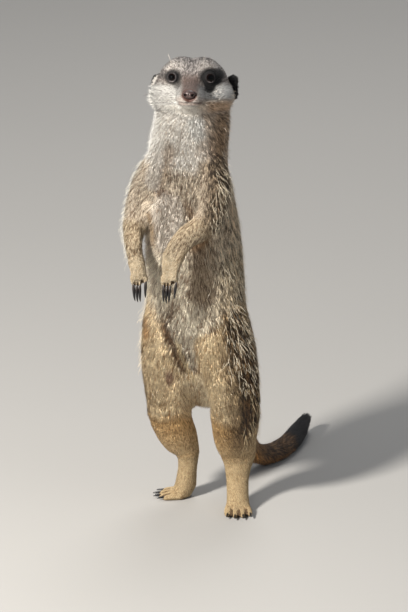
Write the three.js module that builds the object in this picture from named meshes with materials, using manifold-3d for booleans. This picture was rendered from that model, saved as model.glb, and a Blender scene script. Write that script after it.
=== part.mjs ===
// A life-size meerkat, standing upright on its hind feet with the tail laid behind as a prop.
// Millimetres, +Z up, floor at z = 0. The animal faces -Y, so its left side is +X.
// The surfaces are the outside of the coat.
import * as THREE from "three";
import { mergeVertices } from "three/addons/utils/BufferGeometryUtils.js";
import Module from "manifold-3d";

const wasm = await Module();
wasm.setup();

// ---------------------------------------------------------------- driving dimensions

const gap = 0.3; // between neighbouring pieces
const floorCut = { wide: 600, deep: 80 }; // block that trims soles and tail level with the floor

const heights = { crotch: 70, hips: 95, belly: 122, waist: 152, ribs: 182, chest: 210, shoulders: 232 };
const twist = { pelvis: -8, chest: 8, head: 27 }; // degrees about Z, towards the animal's left
const head = { at: [-5.6, -7.2, 291.5], pitch: 13, noseTip: -37.5, noseUp: -4.6 };
const eye = { side: 10.8, front: -11.8, up: 5.4, radius: 4.7 };
const ear = {
  left: { at: [26.3, 10, -1.5], sweep: 34 },
  right: { at: [-22.5, 13.5, -1.5], sweep: -62 }, // laid flatter against the head
  size: [4.6, 6.4, 8.6],
  rim: 1.6,
};

// Four digits to a foot: how far each lies to the side and how far it reaches. fan is the degrees
// between neighbours, and droop the share of its reach that a tip sinks.
const fingers = { sides: [-4.6, -2.3, 0, 4.1], reaches: [5.4, 6.2, 5.8, 2.8], root: 2.3, tip: 1.6, fan: -2, droop: 0.11 };
const toes = { sides: [-6.4, -2.2, 2.2, 6.4], reaches: [9.4, 11.7, 11.5, 9], root: 3, tip: 2.3, fan: 5, droop: 0.04 };
const frontClaw = { length: 10.5, root: 1.0, curl: 26 };
const hindClaw = { length: 6, root: 1.15, curl: 24 };

// ---------------------------------------------------------------- solids

function solidOf(geometry) {
  const bare = geometry.clone();
  bare.deleteAttribute("normal");
  bare.deleteAttribute("uv");
  const merged = mergeVertices(bare, 1e-4);
  return new wasm.Manifold(
    new wasm.Mesh({
      numProp: 3,
      vertProperties: new Float32Array(merged.attributes.position.array),
      triVerts: new Uint32Array(merged.index.array),
    }),
  );
}

function geometryOf(solid) {
  const { vertProperties, triVerts } = solid.getMesh();
  const geometry = new THREE.BufferGeometry();
  geometry.setAttribute("position", new THREE.BufferAttribute(vertProperties, 3));
  geometry.setIndex(new THREE.BufferAttribute(triVerts, 1));
  geometry.computeVertexNormals();
  return geometry;
}

const vector = (p) => new THREE.Vector3(...p);
const radians = THREE.MathUtils.degToRad;
const mix = THREE.MathUtils.lerp;

// Closes a stack of rings, each a list of points, into one surface with a fan at both ends.
function skinOver(rings) {
  const spokes = rings[0].length;
  const centreOf = (ring) => ring.reduce((sum, p) => sum.add(p), new THREE.Vector3()).divideScalar(spokes);
  const points = [...rings.flat(), centreOf(rings[0]), centreOf(rings.at(-1))];
  const first = rings.length * spokes;
  const faces = [];
  for (let j = 0; j < spokes; j++) {
    const k = (j + 1) % spokes;
    for (let i = 0; i + 1 < rings.length; i++) {
      const [a, b, c, d] = [i * spokes + j, i * spokes + k, (i + 1) * spokes + k, (i + 1) * spokes + j];
      faces.push(a, b, c, a, c, d);
    }
    faces.push(first, k, j, first + 1, first - spokes + j, first - spokes + k);
  }
  return new THREE.BufferGeometry().setFromPoints(points).setIndex(faces);
}

// A fleshy length: egg-shaped rings along a smooth path through its stations. A station has its place
// and its half-sizes: across, and towards the front and the back. `front` is the way the front looks,
// turned about Z by the station's own `turn`. from and to are stations, and may lie between two.
function fleshAlong(stations, front, options = {}) {
  const { from = 0, to = stations.length - 1, rings = 10, spokes = 16, grow = 0, domes = [0, 0] } = options;
  const last = stations.length - 1;
  const path = new THREE.CatmullRomCurve3(stations.map((s) => vector(s.at)), false, "centripetal");
  const sizes = new THREE.CatmullRomCurve3(stations.map((s) => vector(s.half)), false, "centripetal");
  const turnAt = (s) => {
    const low = Math.min(Math.floor(s), last - 1);
    return mix(stations[low].turn ?? 0, stations[low + 1].turn ?? 0, s - low);
  };
  const ringAt = (s, scale, shift) => {
    const t = THREE.MathUtils.clamp(s / last, 0, 1);
    const along = path.getTangent(t);
    const fore = vector(front).applyAxisAngle(new THREE.Vector3(0, 0, 1), radians(turnAt(s)));
    fore.addScaledVector(along, -fore.dot(along)).normalize();
    const side = fore.clone().cross(along);
    const centre = path.getPoint(t).addScaledVector(along, shift);
    const half = sizes.getPoint(t).addScalar(grow).multiplyScalar(scale);
    return Array.from({ length: spokes }, (_, j) => {
      const angle = (2 * Math.PI * j) / spokes;
      const depth = Math.sin(angle) > 0 ? half.y : half.z;
      return centre
        .clone()
        .addScaledVector(side, half.x * Math.cos(angle))
        .addScaledVector(fore, depth * Math.sin(angle));
    });
  };
  const domeSteps = [70, 38].map(radians);
  const start = domes[0] ? domeSteps.map((a) => ringAt(from, Math.cos(a), -(domes[0] + grow) * Math.sin(a))) : [];
  const end = domes[1] ? domeSteps.map((a) => ringAt(to, Math.cos(a), (domes[1] + grow) * Math.sin(a))) : [];
  const middle = Array.from({ length: rings + 1 }, (_, i) => ringAt(mix(from, to, i / rings), 1, 0));
  return solidOf(skinOver([...start, ...middle, ...end.reverse()]));
}

// Distance fields for the head, whose masses melt into each other.
const ellipsoid = (centre, size) => (p) => {
  const q = p.clone().sub(vector(centre));
  const near = q.clone().divide(vector(size)).length();
  const slope = q.divide(vector(size)).divide(vector(size)).length();
  return slope < 1e-9 ? -Math.min(...size) : (near * (near - 1)) / slope;
};

const capsule = (start, startRadius, end, endRadius, flat = 1) => (p) => {
  const axis = vector(end).sub(vector(start));
  const q = p.clone().sub(vector(start));
  const t = THREE.MathUtils.clamp(q.dot(axis) / axis.lengthSq(), 0, 1);
  q.addScaledVector(axis, -t);
  q.z /= flat;
  return (q.length() - mix(startRadius, endRadius, t)) * Math.min(1, flat);
};

const melt = (softness, ...fields) => (p) =>
  fields.map((f) => f(p)).reduce((a, b) => {
    const h = Math.max(softness - Math.abs(a - b), 0) / softness;
    return Math.min(a, b) - (h * h * softness) / 4;
  });

const hollow = (softness, body, tool) => (p) => {
  const [a, b] = [body(p), -tool(p)];
  const h = Math.max(softness - Math.abs(a - b), 0) / softness;
  return Math.max(a, b) + (h * h * softness) / 4;
};

const mirrored = (field) => (p) => field(new THREE.Vector3(Math.abs(p.x), p.y, p.z));

// Where a ray from inside a field reaches its surface.
function reach(field, origin, direction, level, furthest = 60) {
  let [inside, outside] = [0, furthest];
  for (let step = 1; step <= furthest; step++) {
    if (field(origin.clone().addScaledVector(direction, step)) > level) {
      [inside, outside] = [step - 1, step];
      break;
    }
  }
  for (let i = 0; i < 14; i++) {
    const middle = (inside + outside) / 2;
    if (field(origin.clone().addScaledVector(direction, middle)) > level) outside = middle;
    else inside = middle;
  }
  return inside;
}

// Rings across an axis that runs from front to back through a field, closer together at its ends.
function wrapField(field, axisHeight, { rings, spokes, grow = 0 }) {
  const middle = new THREE.Vector3(0, -4, axisHeight(-4));
  const front = middle.y - reach(field, middle, new THREE.Vector3(0, -1, -0.08).normalize(), grow);
  const back = middle.y + reach(field, middle, new THREE.Vector3(0, 1, 0), grow);
  const stack = [];
  for (let i = 1; i < rings; i++) {
    const y = mix(back, front, (1 - Math.cos((Math.PI * i) / rings)) / 2);
    const centre = new THREE.Vector3(0, y, axisHeight(y));
    if (field(centre) > grow - 0.2) continue;
    stack.push(
      Array.from({ length: spokes }, (_, j) => {
        const angle = (2 * Math.PI * j) / spokes;
        const ray = new THREE.Vector3(Math.cos(angle), 0, Math.sin(angle));
        return centre.clone().addScaledVector(ray, reach(field, centre, ray, grow));
      }),
    );
  }
  return solidOf(skinOver(stack));
}

function ball(radius, wide = 12, high = 8) {
  return solidOf(new THREE.SphereGeometry(radius, wide, high));
}

function moved(solid, matrix) {
  return solidOf(geometryOf(solid).applyMatrix4(matrix));
}

const floorBlock = solidOf(
  new THREE.BoxGeometry(floorCut.wide, floorCut.wide, floorCut.deep).translate(0, 0, -floorCut.deep / 2),
);

// ---------------------------------------------------------------- torso and neck

const torsoStations = [
  { at: [-2.5, 8, heights.crotch], half: [15, 11, 17], turn: twist.pelvis },
  { at: [-5, 6, heights.hips], half: [30, 26, 31], turn: twist.pelvis },
  { at: [-7, 3, heights.belly], half: [36, 33, 33], turn: -6 },
  { at: [-7, 0, heights.waist], half: [36, 31, 31], turn: -2 },
  { at: [-7.5, -1, heights.ribs], half: [34.5, 27, 29], turn: 2 },
  { at: [-9.5, -3, heights.chest], half: [32.5, 24, 27], turn: 6 },
  { at: [-11, -4, heights.shoulders], half: [29.5, 22, 25], turn: twist.chest },
  { at: [-10, -4, 246], half: [27.5, 21.5, 23], turn: 12 },
  { at: [-7.3, -4, 264], half: [26, 22, 21], turn: 18 },
  { at: [-6.4, -4, 279], half: [25.2, 20.5, 18], turn: twist.head },
];
const forward = [0, -1, 0];
const torsoParts = { abdomen: [0, 4], chest: [4, 6.5], neck: [6.5, 9] };
const torsoRings = { abdomen: 9, chest: 6, neck: 6 };
const stationGap = 0.006; // share of a station's length that leaves about half the gap

function torsoPart(name) {
  const [from, to] = torsoParts[name];
  return fleshAlong(torsoStations, forward, {
    from: from ? from + stationGap : 0,
    to: name === "neck" ? to : to - stationGap,
    rings: torsoRings[name],
    spokes: 20,
    domes: name === "abdomen" ? [6, 0] : [0, 0],
  });
}

const torsoClearance = fleshAlong(torsoStations, forward, { rings: 21, spokes: 20, grow: gap, domes: [6, 0] });

// ---------------------------------------------------------------- head

const headMatrix = new THREE.Matrix4().compose(
  vector(head.at),
  new THREE.Quaternion().setFromEuler(new THREE.Euler(radians(-head.pitch), 0, radians(twist.head), "ZXY")),
  new THREE.Vector3(1, 1, 1),
);

const skull = melt(
  5,
  ellipsoid([0, 5, 0.6], [22, 22, 16.3]),
  mirrored(ellipsoid([7.8, 2, 7], [11, 15, 12.4])),
  mirrored(ellipsoid([12, 6, 4], [10.5, 13, 9.5])),
  mirrored(ellipsoid([14.6, 2, -7], [13, 16, 12.5])),
  ellipsoid([0, 8, -6], [20, 17, 14]),
  ellipsoid([0, -5, -13], [13, 14, 8]),
);
const muzzle = melt(
  4,
  capsule([0, -8, -2.5], 12.5, [0, -30.5, -6.2], 6, 0.86),
  mirrored(ellipsoid([4.2, -26.5, -7.8], [5.6, 8.5, 4.8])),
  capsule([0, -4, -9.5], 8.8, [0, -26.5, -11.2], 4.3, 0.9),
);
const brows = mirrored(ellipsoid([10.6, -8, 8.6], [8, 7, 4.6]));
const eyeHollows = mirrored(ellipsoid([eye.side + 1.2, eye.front - 5.4, eye.up - 0.2], [5.8, 5, 5.2]));
const headField = hollow(4.5, melt(5, skull, muzzle, brows), eyeHollows);
const headAxis = (y) => mix(-7.2, -1, THREE.MathUtils.smoothstep(y, -34, 4));

function headSolid(grow) {
  return wrapField(headField, headAxis, { rings: 27, spokes: 24, grow });
}

const eyeAt = (side) => new THREE.Vector3(side * eye.side, eye.front, eye.up);

// The nose pad: a rounded block with two nostrils, at the muzzle's tip.
function nosePad() {
  const pad = ball(1, 12, 8).scale([4.3, 3.2, 3.1]).translate([0, head.noseTip + 2.6, head.noseUp]);
  const nostril = (side) =>
    ball(1, 6, 4).scale([0.9, 1.6, 0.7]).translate([side * 2.1, head.noseTip + 0.3, head.noseUp - 0.2]);
  return pad.subtract(nostril(1)).subtract(nostril(-1));
}
const noseSocket = ball(1, 12, 8)
  .scale([4.3 + gap, 3.2 + gap, 3.1 + gap])
  .translate([0, head.noseTip + 2.6, head.noseUp]);

// A small cupped ear, low on the side of the head, open towards the front.
function earShell(name, side) {
  const place = ear[name];
  const [a, b, c] = ear.size;
  const outer = ball(1, 12, 6).scale([a, b, c]);
  const cup = ball(1, 8, 5)
    .scale([a - 0.4, b - ear.rim, c - ear.rim])
    .translate([side * 2.2, -3.4, 0]);
  return outer
    .subtract(cup)
    .rotate([0, 0, place.sweep])
    .translate(place.at);
}

// ---------------------------------------------------------------- limbs

const limbFront = [0, -0.7, 0.7]; // front of an upright length, top of a level one

const arms = {
  left: {
    turn: 15,
    stations: [
      { at: [9, -8, 241], half: [11, 13, 13] },
      { at: [15.5, -14, 229], half: [12, 13.5, 14] },
      { at: [19, -23, 215], half: [11, 12, 13] },
      { at: [18.5, -32, 206], half: [9.5, 10.5, 10.5] },
      { at: [10, -44, 198.3], half: [8.2, 8.2, 8.2] },
      { at: [5, -50, 187.5], half: [7.6, 7, 7] },
      { at: [3.8, -51.5, 178], half: [6.2, 5, 4.8] },
      { at: [3.4, -51.5, 172], half: [5.8, 3.8, 3.4] },
    ],
    fingersPoint: [-0.05, 0.02, -1],
    across: [0.9, 0.43, 0],
  },
  right: {
    turn: 30,
    stations: [
      { at: [-26, -7, 241], half: [10, 12, 12] },
      { at: [-34.5, -11, 228], half: [11, 12, 13] },
      { at: [-40.5, -18, 211], half: [9.2, 10, 12] },
      { at: [-39.8, -26, 198], half: [8, 8.5, 10] },
      { at: [-33.2, -37, 187], half: [7, 7, 8] },
      { at: [-26.6, -45, 178.5], half: [6, 5.6, 6] },
      { at: [-23.6, -47, 172], half: [5.8, 4.8, 4.6] },
      { at: [-22.8, -47, 167], half: [5.6, 3.6, 3.4] },
    ],
    fingersPoint: [0, 0.1, -1],
    across: [0.9, 0.43, 0],
  },
};
const armParts = { upper_arm: [0, 3], forearm: [3, 5], hand: [5, 7] };
const armRings = { upper_arm: 7, forearm: 5, hand: 3 };

const legs = {
  left: {
    turn: 30,
    stations: [
      { at: [8, 2, 160], half: [15, 16, 18] },
      { at: [13, -1, 138], half: [19, 20, 22] },
      { at: [16.5, -3.5, 113], half: [23, 24, 27] },
      { at: [27.6, -8.5, 85], half: [19, 17.5, 25] },
      { at: [25.5, -4, 62], half: [17, 15, 22] },
      { at: [21.6, 4, 46], half: [15, 12, 16] },
      { at: [21.3, 8, 34], half: [12.5, 9, 10] },
      { at: [22, 5.6, 21.5], half: [8, 7, 8] },
      { at: [27.5, -3.5, 8], half: [7.6, 6.6, 8.8] },
      { at: [31, -9.5, 2.9], half: [9, 4.6, 4.4] },
    ],
    toesPoint: [0.53, -0.84, -0.06],
  },
  right: {
    turn: -50,
    stations: [
      { at: [-19, -3, 158], half: [14, 14, 16] },
      { at: [-22.5, -13, 135], half: [16, 16, 18] },
      { at: [-20, -14, 112], half: [20, 20.5, 24] },
      { at: [-22.6, -13, 86], half: [18, 17, 18] },
      { at: [-21, -7.5, 56], half: [15, 15.5, 14.5] },
      { at: [-18.2, -1, 42], half: [12.5, 14, 12.5] },
      { at: [-15, 3, 32], half: [9, 9, 8.6] },
      { at: [-15, 2.6, 22], half: [6.6, 6.6, 6.6] },
      { at: [-16.8, -0.2, 7.4], half: [7.4, 6.4, 9] },
      { at: [-20, -2.4, 2.3], half: [8.6, 4.8, 4.4] },
    ],
    toesPoint: [-0.86, -0.5, -0.06],
  },
};
const legParts = { thigh: [0, 3.6], shank: [3.6, 6], foot: [6, 9] };
const legRings = { thigh: 9, shank: 6, foot: 5 };

function limbPart(limb, parts, rings, name, spokes) {
  const [from, to] = parts[name];
  const last = limb.stations.length - 1;
  const stations = limb.stations.map((s) => ({ ...s, turn: limb.turn }));
  return fleshAlong(stations, limbFront, {
    from: from ? from + 2 * stationGap : 0,
    to: to < last ? to - 2 * stationGap : to,
    rings: rings[name],
    spokes,
    domes: [from ? 0 : 4, to < last ? 0 : 2],
  });
}

// One digit of a foot, and the claw beyond it. `point` is the way the digits run, `across` the way
// they lie beside each other, and `lift` the back of the foot.
function digitFrame(foot, index, digit) {
  const point = foot.point.clone().applyAxisAngle(foot.lift, radians((index - 1.5) * digit.fan));
  const root = foot.at.clone().addScaledVector(foot.across, digit.sides[index]);
  return { root, point, length: digit.reaches[index], lift: foot.lift };
}

function digitSolid(frame, digit) {
  const station = (share, arch, radius) => {
    const at = frame.root.clone().addScaledVector(frame.point, frame.length * share);
    at.addScaledVector(frame.lift, frame.length * arch);
    return { at: at.toArray(), half: [radius, radius, radius] };
  };
  const stations = [
    station(-0.35, 0, digit.root),
    station(0.3, 0.03, digit.root),
    station(0.68, 0.02, digit.tip * 1.08),
    station(1, -digit.droop, digit.tip),
    station(1 + 1.1 / frame.length, -digit.droop * 1.2, digit.tip * 0.55),
  ];
  return fleshAlong(stations, frame.lift.toArray(), { rings: 3, spokes: 6 });
}

// A curved, tapering claw that starts a gap beyond its digit.
function clawSolid(frame, digit, claw) {
  const steps = 4;
  const stations = [];
  const start = frame.root
    .clone()
    .addScaledVector(frame.point, frame.length + 1.2 + gap)
    .addScaledVector(frame.lift, -frame.length * digit.droop + 0.15 * digit.tip);
  const side = frame.point.clone().cross(frame.lift).normalize();
  const heading = frame.point.clone().applyAxisAngle(side, radians(claw.curl * 0.35));
  for (let i = 0; i <= steps; i++) {
    const radius = claw.root * (1 - (i / steps) ** 1.5) + 0.28;
    stations.push({ at: start.toArray(), half: [radius * 0.75, radius, radius] });
    start.addScaledVector(heading, claw.length / steps);
    heading.applyAxisAngle(side, radians(-claw.curl / steps));
  }
  return fleshAlong(stations, frame.lift.toArray(), { rings: 3, spokes: 5 });
}

function footFrame(station, point, across, lift) {
  const aim = vector(point).normalize();
  const up = vector(lift);
  up.addScaledVector(aim, -up.dot(aim)).normalize();
  const beside = across ? vector(across).normalize() : aim.clone().cross(up).negate();
  return { at: vector(station.at), point: aim, across: beside, lift: up };
}

// ---------------------------------------------------------------- tail

const tailStations = [
  { at: [-3, 18, 106], half: [13, 13, 13] },
  { at: [-1, 33, 84], half: [12, 12, 12] },
  { at: [0, 43, 58], half: [10, 10, 10] },
  { at: [-0.5, 52, 34], half: [8.8, 8.8, 8.8] },
  { at: [0, 67, 14], half: [8, 8, 8] },
  { at: [2, 88, 7.4], half: [7.7, 7.7, 7.7] },
  { at: [2, 110, 7], half: [7.5, 7.5, 7.5] },
  { at: [-3, 134, 7.2], half: [7.2, 7.2, 7.2] },
  { at: [-7, 152, 10], half: [5, 5, 5] },
];
const tailTop = [0, 0.7, 0.7];
const tailParts = { tail_base: [0, 2], tail_middle: [2, 4], tail_end: [4, 6], tail_tip: [6, 8] };

function tailPart(name) {
  const [from, to] = tailParts[name];
  return fleshAlong(tailStations, tailTop, {
    from: from ? from + stationGap : 0,
    to: to < 8 ? to - stationGap : to,
    rings: 5,
    spokes: 12,
    domes: [0, to < 8 ? 0 : 5],
  }).subtract(floorBlock);
}

// ---------------------------------------------------------------- materials

const coat = (color) => new THREE.MeshStandardMaterial({ color, roughness: 0.9, metalness: 0 });
const materials = {
  face: coat(0xb9ab98),
  body: coat(0x97805f),
  chest: coat(0xb3a387),
  legs: coat(0xc2a677),
  tail: coat(0x6b5740),
  dark: coat(0x1d1715),
  eye: new THREE.MeshStandardMaterial({ color: 0x1a0f0a, roughness: 0.08, metalness: 0 }),
  nose: new THREE.MeshStandardMaterial({ color: 0x3a2622, roughness: 0.45, metalness: 0 }),
  claw: new THREE.MeshStandardMaterial({ color: 0x201d1c, roughness: 0.4, metalness: 0 }),
};

// ---------------------------------------------------------------- assembly

const meerkat = new THREE.Group();

function addPiece(parent, name, solid, material) {
  const mesh = new THREE.Mesh(geometryOf(solid), material);
  mesh.name = name;
  parent.add(mesh);
}

function addHead() {
  const group = new THREE.Group();
  group.applyMatrix4(headMatrix);
  meerkat.add(group);
  let skin = headSolid(0).subtract(noseSocket);
  const clearance = headSolid(gap);
  for (const [name, side] of [["left", 1], ["right", -1]]) {
    const place = eyeAt(side).toArray();
    skin = skin.subtract(ball(eye.radius + gap).translate(place));
    addPiece(group, `eye_${name}`, ball(eye.radius).translate(place), materials.eye);
    addPiece(group, `ear_${name}`, earShell(name, side).subtract(clearance), materials.dark);
  }
  addPiece(group, "head", skin, materials.face);
  addPiece(group, "nose", nosePad(), materials.nose);
}

function addTorso() {
  const headClearance = moved(headSolid(gap), headMatrix);
  addPiece(meerkat, "neck", torsoPart("neck").subtract(headClearance), materials.chest);
  addPiece(meerkat, "chest", torsoPart("chest"), materials.chest);
  addPiece(meerkat, "abdomen", torsoPart("abdomen"), materials.body);
}

function addDigits(side, kind, foot, digit, claw, limbEnd) {
  let solid = limbEnd;
  for (let i = 0; i < digit.sides.length; i++) {
    const frame = digitFrame(foot, i, digit);
    solid = solid.add(digitSolid(frame, digit));
    const clawName = `claw_${kind}_${side}_${i + 1}`;
    addPiece(meerkat, clawName, clawSolid(frame, digit, claw).subtract(floorBlock), materials.claw);
  }
  return solid;
}

function addArm(side) {
  const arm = arms[side];
  const part = (name) => limbPart(arm, armParts, armRings, name, 12);
  const foot = footFrame(arm.stations.at(-1), arm.fingersPoint, arm.across, [0.4, -0.9, 0]);
  addPiece(meerkat, `upper_arm_${side}`, part("upper_arm").subtract(torsoClearance), materials.chest);
  addPiece(meerkat, `forearm_${side}`, part("forearm").subtract(torsoClearance), materials.legs);
  addPiece(meerkat, `hand_${side}`, addDigits(side, "front", foot, fingers, frontClaw, part("hand")), materials.legs);
}

function addLeg(side) {
  const leg = legs[side];
  const part = (name) => limbPart(leg, legParts, legRings, name, 13);
  const foot = footFrame(leg.stations.at(-1), leg.toesPoint, null, [0, 0, 1]);
  addPiece(meerkat, `thigh_${side}`, part("thigh").subtract(torsoClearance), materials.legs);
  addPiece(meerkat, `shank_${side}`, part("shank").subtract(torsoClearance), materials.legs);
  const whole = addDigits(side, "hind", foot, toes, hindClaw, part("foot")).subtract(floorBlock);
  addPiece(meerkat, `foot_${side}`, whole, materials.legs);
}

function addTail() {
  for (const name of Object.keys(tailParts)) {
    const piece = name === "tail_base" ? tailPart(name).subtract(torsoClearance) : tailPart(name);
    addPiece(meerkat, name, piece, name === "tail_tip" ? materials.dark : materials.tail);
  }
}

addTorso();
addHead();
for (const side of ["left", "right"]) {
  addArm(side);
  addLeg(side);
}
addTail();

// The origin is on the floor, under the middle of the animal's box.
const box = new THREE.Box3().setFromObject(meerkat);
const middle = box.getCenter(new THREE.Vector3());
meerkat.position.set(-middle.x, -middle.y, -box.min.z);

export default meerkat;
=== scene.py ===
# A life-size standing meerkat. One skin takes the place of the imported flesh, the coat grows on it as solid
# tufts, and the eyes, nose, ears, claws and whiskers are pieces of their own.
import math

import bpy
import numpy as np
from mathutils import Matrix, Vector
from mathutils.bvhtree import BVHTree
from mathutils.kdtree import KDTree


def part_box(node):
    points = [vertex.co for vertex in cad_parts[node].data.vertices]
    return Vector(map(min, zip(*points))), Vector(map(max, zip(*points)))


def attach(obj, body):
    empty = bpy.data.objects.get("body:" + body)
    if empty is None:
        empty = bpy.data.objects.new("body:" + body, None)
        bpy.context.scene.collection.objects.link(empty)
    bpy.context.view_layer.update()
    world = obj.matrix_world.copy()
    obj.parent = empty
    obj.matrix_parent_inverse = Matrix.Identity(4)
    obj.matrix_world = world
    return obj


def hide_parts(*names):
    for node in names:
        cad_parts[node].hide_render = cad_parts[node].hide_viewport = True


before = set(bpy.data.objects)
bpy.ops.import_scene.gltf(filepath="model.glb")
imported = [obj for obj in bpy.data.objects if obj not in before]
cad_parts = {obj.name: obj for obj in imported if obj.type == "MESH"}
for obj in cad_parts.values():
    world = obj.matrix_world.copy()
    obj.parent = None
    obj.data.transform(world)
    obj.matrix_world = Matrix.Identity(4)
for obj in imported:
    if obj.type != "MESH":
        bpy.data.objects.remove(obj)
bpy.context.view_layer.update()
mm = 0.001  # sizes below are in millimetres where they are multiplied by this
sides = {"left": 1, "right": -1}  # the animal's left is +X
dice = np.random.default_rng(41)
fullCoat = 1.0  # share of the tufts that grow


def tell(words):
    print("meerkat:", words)


studio = {
    "target": (0.0009, -0.0504, 0.1381), "azimuth": 30, "elevation": 18, "distance": 3.2, "lens": 282.35,
    "floorSize": 12, "floorColour": (0.34, 0.333, 0.322, 1), "sky": (0.92, 0.95, 1.0, 1), "skyStrength": 0.3,
    "lamps": {  # azimuth, elevation, distance, width, watts, colour
        "key": (-13, 32, 1.6, 0.26, 64, (1.0, 0.955, 0.885)),
        "fill": (95, 22, 2.0, 1.4, 4, (0.86, 0.92, 1.0)),
        "rim": (200, 52, 1.8, 0.9, 12, (1.0, 0.98, 0.95)),
    },
}


def toward(azimuth, elevation):
    # a direction in degrees from the front, round towards +X and up
    a, e = math.radians(azimuth), math.radians(elevation)
    return np.array([math.sin(a) * math.cos(e), -math.cos(a) * math.cos(e), math.sin(e)])


def aim(thing, azimuth, elevation, distance):
    # puts a camera or a lamp round the target, looking at it
    target = Vector(studio["target"])
    place = target + Vector(toward(azimuth, elevation)) * distance
    thing.location = place
    thing.rotation_euler = (target - place).to_track_quat("-Z", "Y").to_euler()
    bpy.context.scene.collection.objects.link(thing)


def makeStudio():
    camera = bpy.data.objects.new("camera", bpy.data.cameras.new("camera"))
    camera.data.lens = studio["lens"]
    camera.data.sensor_width = 36
    camera.data.clip_start, camera.data.clip_end = 0.1, 50
    aim(camera, studio["azimuth"], studio["elevation"], studio["distance"])
    bpy.context.scene.camera = camera
    for name, (azimuth, elevation, distance, width, watts, colour) in studio["lamps"].items():
        lamp = bpy.data.objects.new(name, bpy.data.lights.new(name, "AREA"))
        lamp.data.shape, lamp.data.size = "DISK", width
        lamp.data.energy, lamp.data.color = watts, colour
        aim(lamp, azimuth, elevation, distance)
    world = bpy.data.worlds.new("studio")
    world.use_nodes = True
    sky = world.node_tree.nodes["Background"].inputs
    sky["Color"].default_value = studio["sky"]
    sky["Strength"].default_value = studio["skyStrength"]
    bpy.context.scene.world = world
    bpy.context.scene.view_settings.view_transform = "Standard"


makeStudio()


class Wire:
    # a node socket that takes part in Python sums
    def __init__(self, tree, socket=None):
        self.tree, self.socket = tree, socket

    def node(self, kind, settings=None, inputs=None, output=0):
        made = self.tree.nodes.new("ShaderNode" + kind)
        for name, value in (settings or {}).items():
            setattr(made, name, value)
        for name, value in (inputs or {}).items():
            if isinstance(value, Wire):
                self.tree.links.new(value.socket, made.inputs[name])
            else:
                made.inputs[name].default_value = value
        return Wire(self.tree, made.outputs[output])

    def sum(self, operation, *values, clamp=False):
        return self.node("Math", {"operation": operation, "use_clamp": clamp}, dict(enumerate(values)))

    def __add__(self, other):
        return self.sum("ADD", self, other)

    def __sub__(self, other):
        return self.sum("SUBTRACT", self, other)

    def __rsub__(self, other):
        return self.sum("SUBTRACT", other, self)

    def __mul__(self, other):
        return self.sum("MULTIPLY", self, other)

    __radd__, __rmul__ = __add__, __mul__

    def clamped(self):
        return self.sum("ADD", self, 0, clamp=True)

    def step(self, low, high):
        return self.node("MapRange", {"interpolation_type": "SMOOTHSTEP"}, {0: self, 1: low, 2: high})

    def blend(self, a, b):
        # from colour a to colour b as this value goes from 0 to 1
        return self.node("Mix", {"data_type": "RGBA"}, {0: self, 6: a, 7: b}, 2)

    def shade(self, colour):
        # a colour times this value
        grey = self.node("CombineColor", inputs={0: self, 1: self, 2: self})
        settings = {"data_type": "RGBA", "blend_type": "MULTIPLY"}
        return self.node("Mix", settings, {0: 1.0, 6: colour, 7: grey}, 2)

    def attributes(self, *names):
        # what the mesh stores under these names, colours for three of them and values for the rest
        colours = ("pale", "deep", "bareColour")
        return [self.node("Attribute", {"attribute_name": name}, output=0 if name in colours else 2)
                for name in names]

    def noise(self, scale, detail=2.0):
        place = self.node("TexCoord", output=3)
        return self.node("TexNoise", inputs={"Vector": place, "Scale": scale, "Detail": detail})

    def bump(self, strength, distance):
        self.node("Bump", inputs={"Strength": strength, "Distance": distance, "Height": self}).feed("Normal")

    def feed(self, socket):
        # ends in the material's shader
        self.tree.links.new(self.socket, self.tree.nodes["Principled BSDF"].inputs[socket])


def paint(r, g, b):
    # a colour as a colour picker shows it, 0 to 255, made linear
    return tuple(v / 3294.6 if v <= 10 else ((v / 255 + 0.055) / 1.055) ** 2.4 for v in (r, g, b)) + (1.0,)


def newFinish(name, roughness, specular=0.5, **constants):
    # a material and the wire that builds it
    material = bpy.data.materials.new(name)
    material.use_nodes = True
    inputs = material.node_tree.nodes["Principled BSDF"].inputs
    inputs["Roughness"].default_value, inputs["Specular IOR Level"].default_value = roughness, specular
    for socket, value in constants.items():
        inputs[socket.replace("_", " ")].default_value = value
    return material, Wire(material.node_tree)


def furFinish():
    # hair: each tuft is pale or deep by chance, painted shade darkens its root, and it is banded where the
    # coat is grizzled
    material, wire = newFinish("fur", 0.6, 0.24, Sheen_Weight=0.04)
    pale, deep, grizzle, chance, along = wire.attributes("pale", "deep", "grizzle", "chance", "along")
    dark = (grizzle - chance).step(-0.07, 0.07)
    tips = grizzle * along.step(0.8, 1.0) * 0.45
    # painted shade: the lower part of each tuft darkened as if shaded by the hairs over it
    roots = 0.6 - along.step(0.0, 0.4) * 0.6
    colour = (dark * 0.9 + tips + roots).clamped().blend(pale, deep)
    glow = wire.node("TexWhiteNoise", {"noise_dimensions": "1D"}, {1: chance * 37.0})
    (glow * 0.5 + 0.75).shade(colour).feed("Base Color")
    return material


def skinFinish():
    # what shows between the tufts, and bare skin where there is no coat
    material, wire = newFinish("skin", 0.75, 0.25)
    pale, deep, bareColour, grizzle, bare = wire.attributes("pale", "deep", "bareColour", "grizzle", "bare")
    hairs, folds = wire.noise(900.0, 3.0), wire.noise(1600.0)
    under = (grizzle * 0.6 + hairs * 0.5).clamped().blend(pale, deep)
    # the coat's colour under the tufts is darkened further, to 0.38 to 0.68, as painted shade under the coat
    bare.blend((hairs * 0.3 + 0.38).shade(under), (folds * 0.4 + 0.8).shade(bareColour)).feed("Base Color")
    (0.8 - bare * 0.3).feed("Roughness")
    folds.bump(0.35, 0.0004)
    return material


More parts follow.
